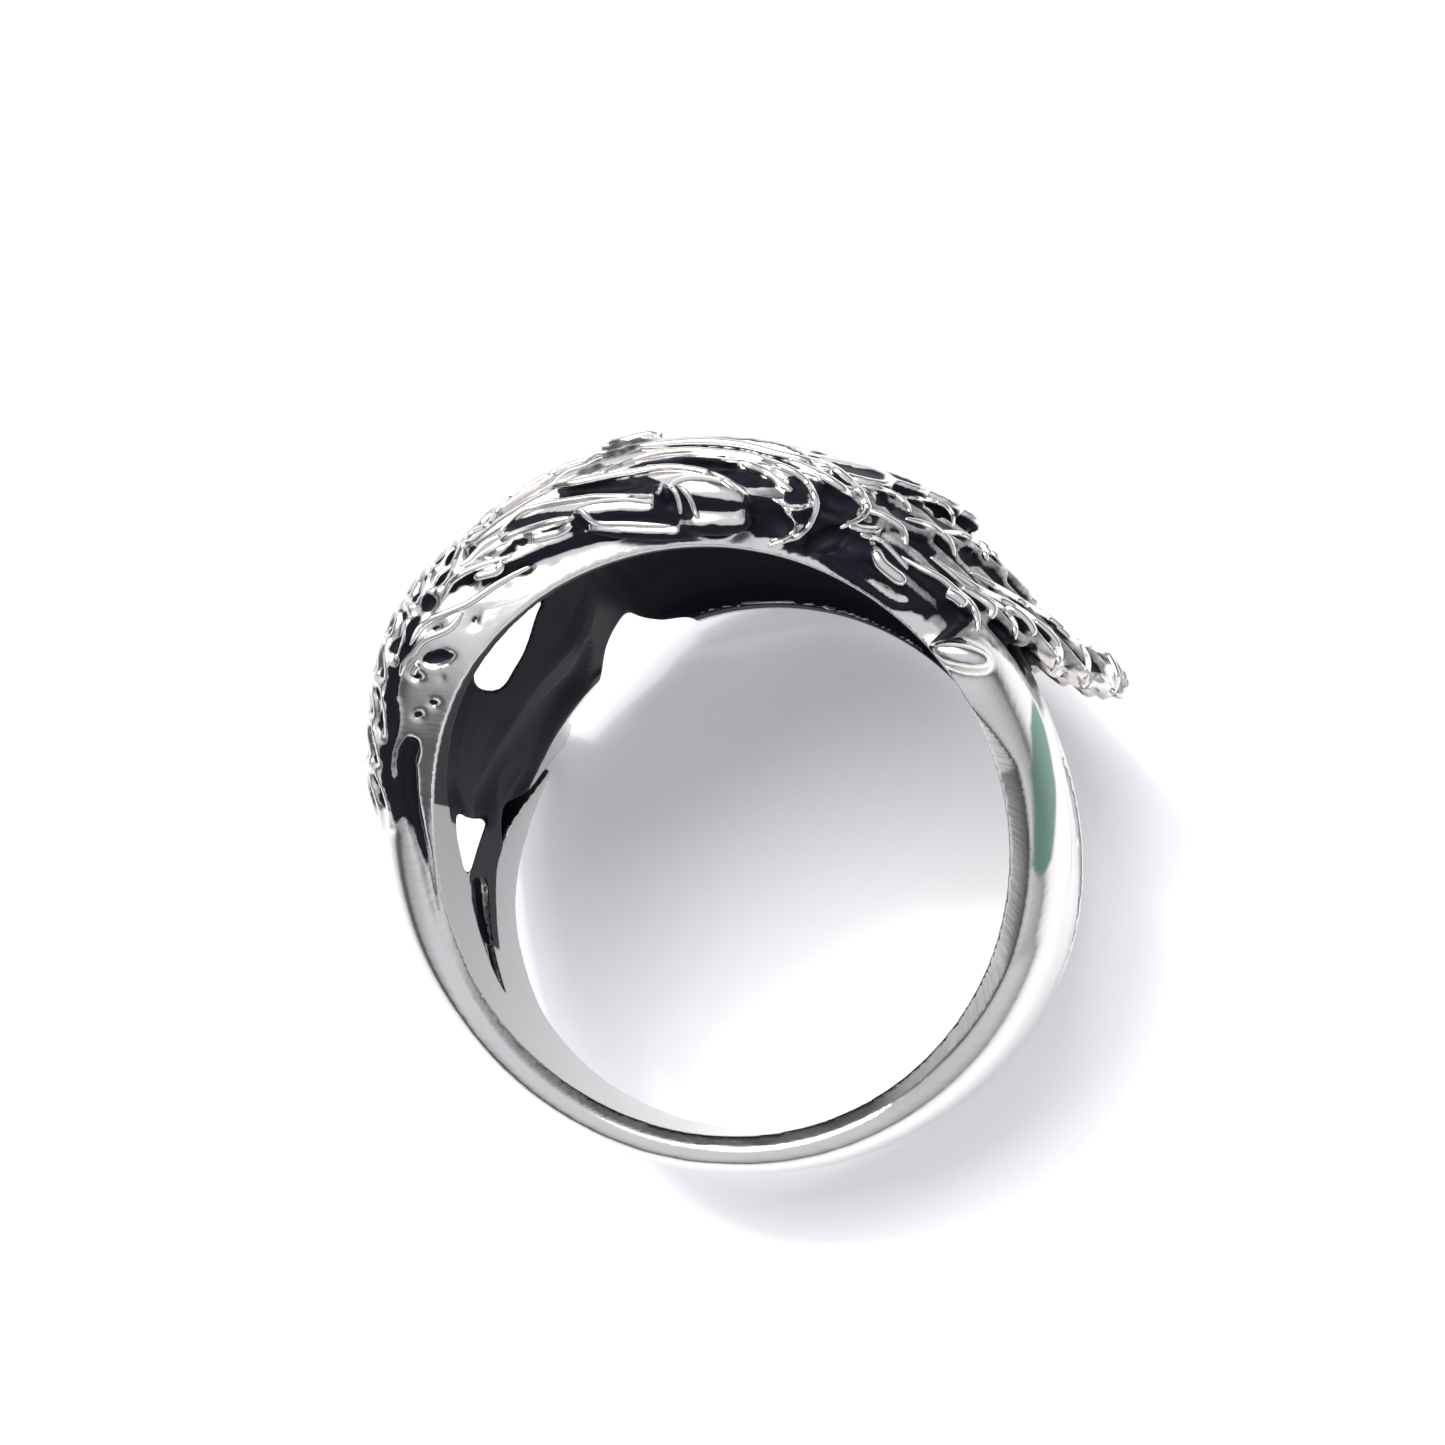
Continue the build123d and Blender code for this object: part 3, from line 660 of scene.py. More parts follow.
# %% Tail tips and the solid under the rims
# Picture place, height, half sizes in mm and tilt in degrees
TIP_FORMS = ((1046, 652, 3.6, (0.95, 0.42, 0.55), -62), (1072, 664, 2.6, (1.00, 0.46, 0.55), -58),
             (1092, 670, 1.6, (1.10, 0.50, 0.60), -54), (1106, 674, 0.6, (1.05, 0.46, 0.60), -52))
tips = [ellipsoid(seen(x, y, z), radii, tilt) for x, y, z, radii, tilt in TIP_FORMS]
under_tree = tree_of([band_body, neck, core] + branches + feather_bodies + head_parts + tips)
tip_egg = ellipsoid(cast([(960, 656)] * 3, under_tree, -0.05)[1], (1.05, 0.46, 0.62), -14)
bright_parts = [core] + head_parts + tips + [tip_egg]
solids = [band_body, neck] + branches + feather_bodies + bright_parts
print(len(tips), "tips,", len(solids), "bodies to melt together")

# %% [markdown]
# A rim is a fine tapered tube laid on those solids, sunk by a third of its
# width. Where a row of places leaps from one feather to a far lower one, no
# rim can lie, so the row is parted there and its short ends are dropped.

# %% Laying the rims
HOLD, LEAP, SHORTEST = 0.3, 0.35, 16


def runs_on_solid(path):
    """The stretches of a path that lie on the solids without a leap."""
    lies = [under_tree.find_nearest(Vector(p), HOLD)[2] is not None for p in path]
    steps = np.linalg.norm(np.diff(path, axis=0), axis=1)
    runs, run = [], []
    for i, point in enumerate(path):
        if lies[i] and (not run or steps[i - 1] < LEAP):
            run.append(point)
        else:
            runs.append(run)
            run = [point] if lies[i] else []
    return [np.array(run) for run in runs + [run] if len(run) >= SHORTEST]


def strand(width, places):
    """Tapered rims along one row of picture places."""
    row = finer(np.array(places, float), 8 * len(places))
    made = []
    for run in runs_on_solid(cast(row, under_tree, 0.35 * width)):
        along = np.linspace(0, 1, len(run))
        taper = np.clip(np.minimum(along, 1 - along) / 0.18, 0.02, 1) ** 0.5
        made.append(tube(run, width * (0.25 + 0.75 * taper), 12))
    return made


strands = [piece for row in HEAD_LOOPS + BREAST_RIMS + TAIL_RIMS for piece in strand(*row)]
print(len(strands), "rims laid")

# %% [markdown]
# ## What is cut away
# The wax of such a ring is scooped out from the finger side, to save silver and
# to let it sit lightly. The scoop follows the inside of the body at an even
# wall. Each cutter is a closed body of its own, kept by name until the solids
# have been melted together.

# %% The scooped underside
def hollow():
    table = finer(np.array([(-80, 0.12), (-72, 0.55), (-60, 1.0), (-45, 1.0), (-30, 1.0),
                            (0, 1.0), (30, 1.0), (40, 0.7), (46, 0.2)]), 60)
    slopes = np.linspace(-1, 1, 33)
    rows = []
    for turn, full in table:
        angle = np.radians(90 * np.minimum(0.9999, np.abs(slopes)))
        near = at(NEAR, turn) - np.interp(turn, (-60, -25, 25, 50), (1.3, 0.6, 0.6, 1.4))
        far = at(FAR, turn) - np.interp(turn, (-30, -20, 20, 40), (1.4, 1.5, 1.8, 1.4))
        along = np.where(slopes > 0, near, -far) * np.sin(angle) ** ROUNDNESS
        room = np.maximum(0.25, crest(turn, slopes) - SKIN)
        rise = (0.12 + 0.88 * np.cos(angle) ** ROUNDNESS) * room * full
        outline = place(turn, BORE + rise, along * (0.8 + 0.2 * full))
        rows.append(np.concatenate([[place(turn, BORE - 0.8, -far)], outline,
                                    [place(turn, BORE - 0.8, near)]]))
    return body(rows)


cutters = {"hollow": hollow()}
print("the scoop leaves a wall of", SKIN, "mm")

# %% [markdown]
# A tapering channel runs down the breast side of the band, where near and far
# branch part. It is a tube laid half into the metal along picture places.

# %% The channel down the breast side
def groove():
    """Picture place and half width in mm, from the top of the channel down."""
    line = finer(np.array([(414, 738, 0.10), (412, 746, 0.28), (407, 770, 0.31), (413, 812, 0.27),
                           (426, 864, 0.22), (434, 900, 0.17), (448, 950, 0.12),
                           (466, 1000, 0.09), (490, 1045, 0.07), (520, 1084, 0.03)]), 90)
    return tube(cast(line[:, :2], solid_tree), line[:, 2], 12)


solid_tree = tree_of(solids)
cutters["groove"] = groove()
print("the channel has", len(cutters["groove"][1]), "faces")

# %% [markdown]
# Through the finger hole the folds of the breast are seen, dark and soft. They
# are sunk into its wall, so that the hole itself stays exactly round.

# %% The folds in the wall
def inner_relief():
    rows = []
    for turn in np.linspace(-86, -24, 90):
        far = max(-at(FAR, turn) + 0.4, 0.6 + np.interp(turn, (-60, -52, -44, -36, -26),
                                                        (-11.4, -10.9, -8.7, -4.7, -0.5)))
        near = at(NEAR, turn) - 2.0
        along = np.linspace(far, near, 48)
        u = (along - far) / (near - far)
        ends = ramp(turn, -86, -78) * ramp(-turn, 24, 27)
        folds = 0.62 + 0.3 * np.sin(2 * math.pi * (2.3 * u + 0.022 * turn)) + 0.1 * np.sin(17 * u)
        depth = 0.62 * folds * ends * ramp(u, 0.0, 0.12) * ramp(1 - u, 0.0, 0.16)
        rows.append(np.concatenate([[place(turn, BORE - 0.8, far)],
                                    place(turn, BORE - 0.05 + depth, along),
                                    [place(turn, BORE - 0.8, near)]]))
    return body(rows)


cutters["inner relief"] = inner_relief()
print("the folds have", len(cutters["inner relief"][1]), "faces")

# %% [markdown]
# Between the rims of the near side lie small almond-shaped pits, left by the
# carver's burr. Each is a pointed tube, half sunk in the metal. One mesh holds
# them all, so that a single cut takes them out in one go.

# %% Almond pits on the near side
# Picture places of both ends, and width in mm
PITS = ((463, 585, 482, 572, 0.38), (482, 581, 512, 571, 0.14), (513, 574, 537, 565, 0.42),
        (505, 587, 515, 588, 0.20), (465, 629, 494, 606, 0.34), (478, 624, 493, 610, 0.30),
        (461, 618, 480, 607, 0.16), (418, 663, 459, 654, 0.50), (405, 672, 426, 680, 0.36),
        (424, 635, 446, 621, 0.30), (409, 640, 416, 620, 0.30), (402, 662, 412, 640, 0.40),
        (404, 617, 424, 603, 0.38), (426, 615, 438, 588, 0.38), (433, 597, 452, 573, 0.34),
        (446, 570, 461, 548, 0.36), (468, 562, 500, 551, 0.34), (478, 529, 498, 511, 0.48),
        (509, 547, 534, 537, 0.52), (534, 549, 562, 541, 0.16), (438, 682, 444, 675, 0.24),
        (429, 708, 440, 699, 0.30), (412, 719, 425, 711, 0.30), (549, 567, 563, 562, 0.15),
        (503, 529, 576, 512, 0.36), (556, 492, 655, 483, 0.52), (640, 462, 745, 470, 0.44),
        (660, 447, 780, 461, 0.22), (748, 500, 796, 536, 1.10), (672, 521, 680, 518, 0.22),
        (683, 524, 692, 521, 0.24), (696, 521, 706, 522, 0.22), (708, 535, 722, 533, 0.18),
        (724, 534, 738, 534, 0.20), (662, 482, 676, 514, 0.26), (676, 488, 690, 514, 0.22),
        (800, 510, 812, 490, 0.30), (800, 552, 850, 528, 0.80), (574, 535, 610, 539, 0.20),
        (745, 484, 780, 480, 0.30), (820, 478, 850, 508, 0.30), (872, 500, 900, 508, 0.40),
        (868, 518, 892, 536, 0.30), (915, 545, 945, 552, 0.50), (920, 508, 948, 518, 0.36),
        (958, 548, 980, 566, 0.50), (930, 596, 970, 622, 0.50), (985, 622, 1008, 636, 0.50),
        (1045, 612, 1060, 636, 0.20), (1062, 650, 1070, 672, 0.44), (1090, 652, 1098, 678, 0.44))


def pits():
    """All the pits as separate pointed bodies in one mesh."""
    made = []
    for x0, y0, x1, y1, width in PITS:
        share = np.linspace(0.02, 0.98, 13)
        path = cast([(x0 + (x1 - x0) * t, y0 + (y1 - y0) * t) for t in share], solid_tree, 0.02)
        size = np.sin(np.pi * share) ** 0.7
        made.append(tube(path, width / 2 * size, 12))
    return gathered(made)


cutters["pits"] = pits()
print(len(PITS), "pits")

# %% [markdown]
# Three openings show the table: beside the neck, between the branches and at
# the breast. What counts is their outline as the photo shows it. So each cutter
# is a cone from the camera through that outline, which stops below the near
# wall that must stay whole.

# %% Openings that show the table
def seen_through(corners, high, low=-14.0):
    """A body that cuts away just what hides the table inside a picture outline."""
    loop = np.array(corners, float)
    smooth = finer(np.concatenate([loop[-1:], loop, loop[:2]]), 6 * (len(loop) + 3))[6:-12]
    return body([[seen(x, y, z) for x, y in smooth] for z in (low, high)])


cutters.update({
    "neck gap": seen_through(((545, 587), (536, 598), (519, 611), (500, 630), (486, 648),
                              (477, 665), (474, 678), (478, 687), (492, 690), (504, 685),
                              (513, 670), (522, 655), (529, 637), (536, 615), (544, 597)), 6.9),
    "branch gap": seen_through(((456, 809), (465, 817), (478, 819), (487, 816), (484, 828),
                                (478, 846), (472, 866), (467, 879), (462, 860), (457, 835)), 3.6),
    "breast notch": seen_through(((628, 612), (616, 626), (606, 648), (600, 680), (587, 712),
                                  (572, 741), (581, 746), (588, 754), (592, 776), (650, 760),
                                  (700, 700), (700, 624), (660, 620), (641, 617)), 4.0),
})
print("openings:", ", ".join(list(cutters)[-3:]))

# %% [markdown]
# The branches stand clear of the body by narrow slits. Those are true to the
# ring and not to one view, so they are cut straight out from the finger.

# %% Slits between body and branches
def window(corners, outer, inner=BORE - 1.0):
    """A radial prism with a smoothed outline of (turn, along) corners."""
    corners = np.array(corners, float)
    loop = np.concatenate([corners[-1:], corners, corners[:2]])
    keep = finer(loop, 12 * len(loop))[12:-24]
    return body([place(keep[:, 0], radius, keep[:, 1]) for radius in (inner, outer)])


cutters.update({
    "leaf slit": window(((-57, -12.6), (-60, -11.3), (-66, -9.9), (-73, -8.1), (-79, -5.9),
                         (-84, -4.9), (-86, -5.3), (-80, -6.9), (-73, -9.2), (-66.5, -10.9),
                         (-62, -12.4)), BORE + 0.9),
    "right split": window(((114, 0.0), (100, 1.5), (84, 2.9), (76, 3.1), (71, 2.2),
                           (69, 0.6), (72, -1.0), (82, -1.9), (98, -1.3)), BORE + 7),
    "seam": window(((-120, 0.0), (-108, 0.1), (-96, 0.0), (-95, -2.4), (-108, -1.5)),
                   BORE + 0.4),
})
print("slits:", ", ".join(list(cutters)[-3:]))

# %% [markdown]
# ## Melting the pieces into one casting
# A ring like this is one pour of silver, so no piece may look stuck on. A
# voxel remesh turns the overlapping bodies into a single skin, the cutters are
# taken away from it, and a second remesh with a light smoothing rounds every
# edge a little, as polishing does.

# %% Remesh, cut, remesh again
VOXEL = 0.1


def shaped(mesh, kind, **settings):
    """A copy of the mesh with one modifier applied."""
    holder = bpy.data.objects.new("work", mesh)
    bpy.context.scene.collection.objects.link(holder)
    modifier = holder.modifiers.new("step", kind)
    for key, value in settings.items():
        setattr(modifier, key, value)
    bpy.context.view_layer.update()
    done = bpy.data.meshes.new_from_object(
        holder.evaluated_get(bpy.context.evaluated_depsgraph_get()))
    bpy.data.objects.remove(holder)
    return done


def cut(mesh, cutter_parts):
    holder = bpy.data.objects.new("cutter", joined("cutter", [cutter_parts]))
    bpy.context.scene.collection.objects.link(holder)
    done = shaped(mesh, "BOOLEAN", operation="DIFFERENCE", solver="MANIFOLD", object=holder)
    bpy.data.objects.remove(holder)
    return done


skin_mesh = shaped(joined("solids", solids), "REMESH", mode="VOXEL", voxel_size=VOXEL)
print("first skin", len(skin_mesh.polygons), "faces")
for name, parts in cutters.items():
    skin_mesh = cut(skin_mesh, parts)
print("after the cuts", len(skin_mesh.polygons), "faces")
skin_mesh = shaped(skin_mesh, "REMESH", mode="VOXEL", voxel_size=VOXEL)
print("second skin", len(skin_mesh.polygons), "faces")

# %% [markdown]
# The plain band must be smoother than the feathers, or its reflections would
# ripple. A Smooth modifier would shrink it. So each vertex is drawn toward its
# neighbours and pushed back again, which flattens ripples and keeps the size:
# hardly at all among the feathers and many times along the band.

# %% Smooth the skin
def turns_of(points):
    return np.degrees(np.arctan2(points[:, 0], points[:, 1]))


def loop_arrays(mesh):
    points = np.empty(len(mesh.vertices) * 3)
    mesh.vertices.foreach_get("co", points)
    edges = np.empty(len(mesh.edges) * 2, int)
    mesh.edges.foreach_get("vertices", edges)
    return points.reshape(-1, 3), edges.reshape(-1, 2)


def relaxed(points, edges, rounds, amount=0.5):
    """Each vertex drawn toward the mean of its neighbours, several times."""
    count = len(points)
    degree = np.bincount(edges.ravel(), minlength=count)[:, None]
    for _ in range(rounds):
        total = np.stack([np.bincount(edges[:, 0], points[edges[:, 1], k], count)
                          + np.bincount(edges[:, 1], points[edges[:, 0], k], count)
                          for k in range(3)], -1)
        points = points + (total / degree - points) * amount
    return points


points, edges = loop_arrays(skin_mesh)
points = relaxed(points, edges, 2)
turns = turns_of(points)
plain = np.maximum(ramp(turns, 66, 78), ramp(-turns, 84, 96))[:, None]
ROUNDS = 24
for _ in range(ROUNDS):
    smooth = relaxed(relaxed(points, edges, 1, 0.6), edges, 1, -0.62)
    points = points + (smooth - points) * plain
skin_mesh.vertices.foreach_set("co", points.ravel())
print("plain share of the skin", round(float(plain.mean()), 2))

# %% [markdown]
# A jeweller reams the finger hole last, to the ring's size. The same order
# here leaves it exactly round. The vertices on its rim are then eased a little,
# because the cut leaves them sharp and ragged.

# %% Ream the finger hole
BORE_SIDES = 400


def bore():
    angles = np.arange(BORE_SIDES) * 2 * math.pi / BORE_SIDES
    ring = np.stack([BORE * np.sin(angles), BORE * np.cos(angles)], -1)
    return body([np.concatenate([ring, np.full((BORE_SIDES, 1), z)], 1)
                 for z in np.arange(-13.0, 12.0, 0.2)])


skin_mesh = cut(skin_mesh, bore())
points, edges = loop_arrays(skin_mesh)
for _ in range(3):
    on_wall = np.abs(np.hypot(points[:, 0], points[:, 1]) - BORE) < 0.004
    mixed = edges[on_wall[edges[:, 0]] != on_wall[edges[:, 1]]]
    edge_mask = np.zeros((len(points), 1))
    edge_mask[mixed.ravel()] = 1
    points = points + (relaxed(points, edges, 1) - points) * edge_mask
print("reamed skin", len(points), "points")

# %% [markdown]
# Along the plain shank the near edge of the hole has been worn to a slope. It
# turns the metal away from the light, and that draws the narrow dark line
# inside the polished band. The slope is widest on the flank, and the vertices
# are lowered by their distance from its outer limit.

# %% The worn near edge
turns, radius = turns_of(points), np.hypot(points[:, 0], points[:, 1])
# Turn against the width of the slope in mm
bevel = np.interp(turns, (-180, -110, -90, 62, 76, 110, 135, 180),
                  (0.42, 0.34, 0.0, 0.0, 0.75, 0.70, 0.50, 0.42))
STEEPNESS = 0.75
worn = np.clip(bevel - (radius - BORE), 0, None) * ramp(points[:, 2], 0.4, 1.2)
near_face = ramp(points[:, 2] - at(NEAR, turns), -1.2, -0.5)
points[:, 2] -= STEEPNESS * worn * near_face
skin_mesh.vertices.foreach_set("co", points.ravel())
skin_mesh.update()
print("worn edge up to", round(float((STEEPNESS * worn * near_face).max()), 2), "mm deep")

# %% [markdown]
# ## Where the metal is dark
# The ring was blackened and then polished, so only what the polishing wheel
# could not reach stayed dark. A painter could brush that on by hand. Here two
# measures tell it from the shape itself: how far a point lies below its
# smoothed surroundings, and how much of its sky is shut off by metal close by.

# %% Measure hollows and shelter on the finished skin
normals = np.empty(len(points) * 3)
skin_mesh.vertices.foreach_get("normal", normals)
normals = normals.reshape(-1, 3)
sunk_fine = np.sum((relaxed(points, edges, 12) - points) * normals, -1)
sunk_wide = np.sum((relaxed(points, edges, 90) - points) * normals, -1)
tree = BVHTree.FromPolygons(points.tolist(), [tuple(p.vertices) for p in skin_mesh.polygons])
RAYS, REACH, SEED = 7, 1.8, 7
spread = unit(np.random.default_rng(SEED).normal(size=(RAYS, 3)))
shelter = np.zeros(len(points))
starts, ways = points + normals * 0.03, unit(normals[:, None] * 1.05 + spread[None])
for i in range(len(points)):
    start = Vector(starts[i])
    shelter[i] = sum(tree.ray_cast(start, Vector(way), REACH)[0] is not None for way in ways[i])
shelter = relaxed(shelter[:, None].repeat(3, 1) / RAYS, edges, 3)[:, 0]
turns, radius = turns_of(points), np.hypot(points[:, 0], points[:, 1])
inward = -np.sum(normals * unit(points * [1, 1, 0]), -1)
print("mean share of sky shut off", round(float(shelter.mean()), 3))

# %% [markdown]
# Round the head the maker left whole fields black and polished others, which
# no measure can tell. They are outlined in picture places, with how
# dark each is. Only points of the near side that face the camera take them,
# and once stored on the mesh they stay there in every view.

# %% Fields that were left black or polished
# Outlines in picture places, and how dark each field is
DARK_SPOTS = (
    ((556, 488), (600, 482), (650, 476), (662, 482), (655, 494), (600, 495), (560, 499)),
    ((610, 474), (640, 463), (680, 456), (720, 458), (745, 468), (775, 482), (778, 488),
     (745, 488), (735, 482), (715, 472), (680, 463), (640, 467)),
    ((650, 449), (700, 445), (740, 449), (780, 459), (800, 470), (770, 462), (740, 453),
     (700, 449), (660, 451)),
    ((806, 474), (840, 490), (862, 505), (856, 518), (830, 528), (860, 536), (905, 560),
     (912, 590), (860, 578), (820, 562), (775, 550), (800, 538), (812, 520), (817, 500)),
    ((744, 494), (775, 498), (792, 512), (797, 528), (785, 538), (750, 540), (744, 520)),
    ((664, 482), (678, 486), (692, 500), (697, 518), (684, 520), (668, 516), (652, 514),
     (656, 505)),
    ((572, 530), (600, 534), (630, 538), (600, 541), (575, 540)),
    ((865, 495), (905, 500), (950, 510), (1000, 545), (1040, 560), (1045, 595), (1125, 660),
     (1120, 690), (1060, 700), (1068, 752), (1050, 735), (1035, 700), (1010, 665), (985, 640),
     (945, 637), (925, 620), (905, 590), (900, 550), (870, 520)),
    ((503, 532), (512, 520), (545, 512), (575, 510), (572, 516), (545, 523), (515, 533)),
    ((600, 446), (640, 437), (660, 440), (620, 458), (600, 462)),
    ((575, 468), (600, 462), (608, 466), (590, 475), (575, 476)))
SPOT_DEPTHS = (0.85, 0.85, 0.85, 0.75, 0.85, 0.85, 0.85, 0.52, 0.85, 0.6, 0.6)
BRIGHT_SPOTS = (
    ((505, 568), (560, 546), (585, 542), (640, 541), (690, 534), (745, 531), (770, 546),
     (700, 549), (620, 553), (560, 568), (520, 590), (488, 620)),
    ((1062, 676), (1084, 664), (1088, 684), (1070, 695)),
    ((1090, 686), (1110, 664), (1117, 680), (1105, 703), (1088, 701)),
    ((1116, 672), (1134, 668), (1134, 694), (1108, 706)),
    ((1038, 645), (1056, 640), (1057, 664), (1045, 676)))


def within(outline, x, y):
    """True where picture places lie inside a closed outline."""
    inside = np.zeros(len(x), bool)
    for (x0, y0), (x1, y1) in zip(outline, outline[1:] + outline[:1]):
        if y0 != y1:
            inside ^= ((y0 > y) != (y1 > y)) & (x < (x1 - x0) * (y - y0) / (y1 - y0) + x0)
    return inside


local = (points - np.array(CAMERA_AT)) @ np.array(TURNED)
in_x = CENTRE + FOCAL * local[:, 0] / -local[:, 2]
in_y = CENTRE - FOCAL * local[:, 1] / -local[:, 2]
facing_us = np.sum(normals * (np.array(CAMERA_AT) - points), -1) > 0
near_side = facing_us & (points[:, 2] > -1.0) & (radius > BORE + 0.1)
spots = np.zeros(len(points))
for outline, depth_of in zip(DARK_SPOTS, SPOT_DEPTHS):
    spots[near_side & within(outline, in_x, in_y)] = depth_of
for outline in BRIGHT_SPOTS:
    spots[near_side & within(outline, in_x, in_y)] = -1.0
print("points in black fields", int((spots > 0).sum()), "and in polished", int((spots < 0).sum()))

# %% [markdown]
# The feathers carry their own shading: sunken vanes stay dark while rims and
# tips are rubbed bright. Each point of the skin takes it from the feather that
# it lies on. The scoop is black all over, and the head is rubbed bright.

# %% Shading taken from the feathers
FEATHER_REACH, HEAD_REACH, SCOOP_REACH = 0.16, 0.12, 0.1
paint_tree, bright_tree = tree_of(feather_bodies), tree_of(bright_parts)
hollow_tree = tree_of([cutters["hollow"]])
face_shade = [part[2][list(face[:4])].mean() for part in feathers for face in part[1]]
painted, rubbed = np.full(len(points), -1.0), np.zeros(len(points))
scooped = np.zeros(len(points))
for i in range(len(points)):
    if radius[i] < BORE + 0.1:
        continue
    place_now = Vector(points[i])
    found = paint_tree.find_nearest(place_now, FEATHER_REACH)
    if found[2] is not None:
        painted[i] = face_shade[found[2]]
    rubbed[i] = bright_tree.find_nearest(place_now, HEAD_REACH)[2] is not None
    scooped[i] = hollow_tree.find_nearest(place_now, SCOOP_REACH)[2] is not None
print("shares on feathers, head and scoop:",
      [round(float(v), 3) for v in ((painted >= 0).mean(), rubbed.mean(), scooped.mean())])

# %% [markdown]
# The wall of the finger hole is bright where a finger rubs it and black under
# the breast. Three lines bound that black part: the folds' lower edge, the far
# edge of the band and the near edge. Each is a height against the turn.

# %% The black part of the hole's wall
height = points[:, 2]
wall = ramp(inward, 0.05, 0.4)
under = wall * ramp(turns, -92, -80) * ramp(-turns, -56, -46) * ramp(radius, BORE + 0.02,
                                                                       BORE + 0.08)
leaf_line = np.interp(turns, (-112, -101, -92, -87, -79, -73, -66, -61, -60),
                      (-2.0, -3.4, -4.2, -5.1, -6.4, -8.6, -10.2, -11.6, -14.0))
near_line = np.interp(turns, (-112, -104, -94.7, -87.7, -82, -79),
                      (-1.6, -1.0, 0.4, -1.1, -2.0, 12.0))
near_line = np.minimum(near_line, at(NEAR, turns) - 0.25)
far_line = np.maximum(leaf_line, -at(FAR, turns) + 0.5)
wall_dark = (wall * ramp(height - far_line, -0.05, 0.1) * ramp(near_line - height, -0.05, 0.1)
             * ramp(turns, -112, -108) * ramp(-turns, -52, -46))
print("black share of the wall", round(float((wall_dark > 0.5).sum() / (wall > 0.5).sum()), 3))

# %% [markdown]
# Now the layers are put together, as a polisher works: hollows first, then the
# feathers' own shading, then the outlined fields, and last the plain band,
# which is rubbed bare. Each ramp turns a measure, from where the effect starts
# to where it is full, into a share from 0 to 1. One round of smoothing softens
# the borders.

# %% Put the darkness together
hollows = (ramp(sunk_fine, 0.008, 0.035) + ramp(sunk_wide, 0.04, 0.16) * ramp(turns, -70, -60)
           + ramp(shelter, 0.3, 0.65))
dark = np.clip(hollows, 0, 1)
painted[(turns < 14) & (height > np.where(turns < -58, -2.0, 3.5))] = -1
dark = np.where(painted >= 0, np.maximum(painted, dark * 0.9), dark)
dark = np.clip(dark * (1 - 0.95 * ramp(-sunk_fine, 0.01, 0.035)), 0, 1)
dark = np.where(spots > 0, np.maximum(dark, spots), np.where(spots < 0, dark * 0.2, dark))
dark = np.where((rubbed > 0) & (spots <= 0), ramp(sunk_fine, 0.015, 0.04), dark)
dark = np.maximum.reduce([dark, under, wall_dark, scooped])
bare = np.maximum(ramp(turns, 58, 66), ramp(-turns, 88, 98)) * (1 - ramp(sunk_wide, 0.1, 0.2))
dark = np.maximum(dark * (1 - bare * (radius < BORE + 3.2)), wall_dark)
dark = relaxed(dark[:, None].repeat(3, 1), edges, 1)[:, 0]
print("dark share of the skin", round(float(dark.mean()), 3))

# %% [markdown]
# The right flank shows one flat green patch, which is a reflection of something green
# near the ring. It is painted on as a soft-edged green reflection on the polished
# metal: a band of slopes round a middle line, measured in mm from its two edges.

# %% The painted green reflection on the flank
# Painted reflection: the turns over which a green reflection is painted on the flank
REFLECTION_TURNS = (64, 70, 80, 92, 97)
slope_middle = np.interp(turns, REFLECTION_TURNS, (0.70, 0.78, 0.85, 0.90, 0.92))
slope_half = np.interp(turns, REFLECTION_TURNS, (0.0, 0.14, 0.19, 0.13, 0.0))
edge_high = skin(turns, slope_middle + slope_half)
edge_low = skin(turns, slope_middle - slope_half)
gap_high = np.sum((points - edge_high) * unit(edge_low - edge_high), -1)
gap_low = np.sum((points - edge_low) * unit(edge_high - edge_low), -1)
painted_reflection = (ramp(gap_high, 0.0, 0.12) * ramp(gap_low, 0.0, 0.12) * ramp(turns, 64.5, 67)
         * ramp(-turns, -97, -94) * (radius > BORE + 0.3) * (radius < BORE + 3.0))
print("reflection_painted share of the skin", round(float(painted_reflection.mean()), 4))

# %% [markdown]
# ## Laying the ring down
# The skin is too fine for one object, so it is parted into five sectors round
# the finger. Each keeps the normals of the whole, so no seam shows. The matrix
# from the start lays them down where the CAD ring rests, and they replace it.

# %% The ring in five sectors, in place of the CAD node
def in_place(name, mesh):
    """An object of the ring that rides on its body and replaces the CAD node."""
    made = bpy.data.objects.new(name, mesh)
    bpy.context.scene.collection.objects.link(made)
    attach(made, "root")
    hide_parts("swan_ring")
    return made


def sector(name, keep_face, loops, all_normals):
    used = np.unique(np.concatenate([loops[i] for i in keep_face]))
    new_index = np.full(len(points), -1)
    new_index[used] = np.arange(len(used))
    mesh = bpy.data.meshes.new(name)
    mesh.from_pydata(points[used].tolist(), [],
                     [new_index[loops[i]].tolist() for i in keep_face])
    # The second attribute holds the painted green reflection
    for label, values in (("dark", dark), ("painted_reflection", painted_reflection)):
        layer = mesh.attributes.new(label, "FLOAT", "POINT")
        layer.data.foreach_set("value", values[used].astype(np.float32))
    mesh.transform(LAY_DOWN)
    mesh.polygons.foreach_set("use_smooth", [True] * len(mesh.polygons))
    turn_down = np.array(LAY_DOWN.to_3x3().normalized())
    mesh.normals_split_custom_set_from_vertices((all_normals[used] @ turn_down.T).tolist())
    return in_place(name, mesh)


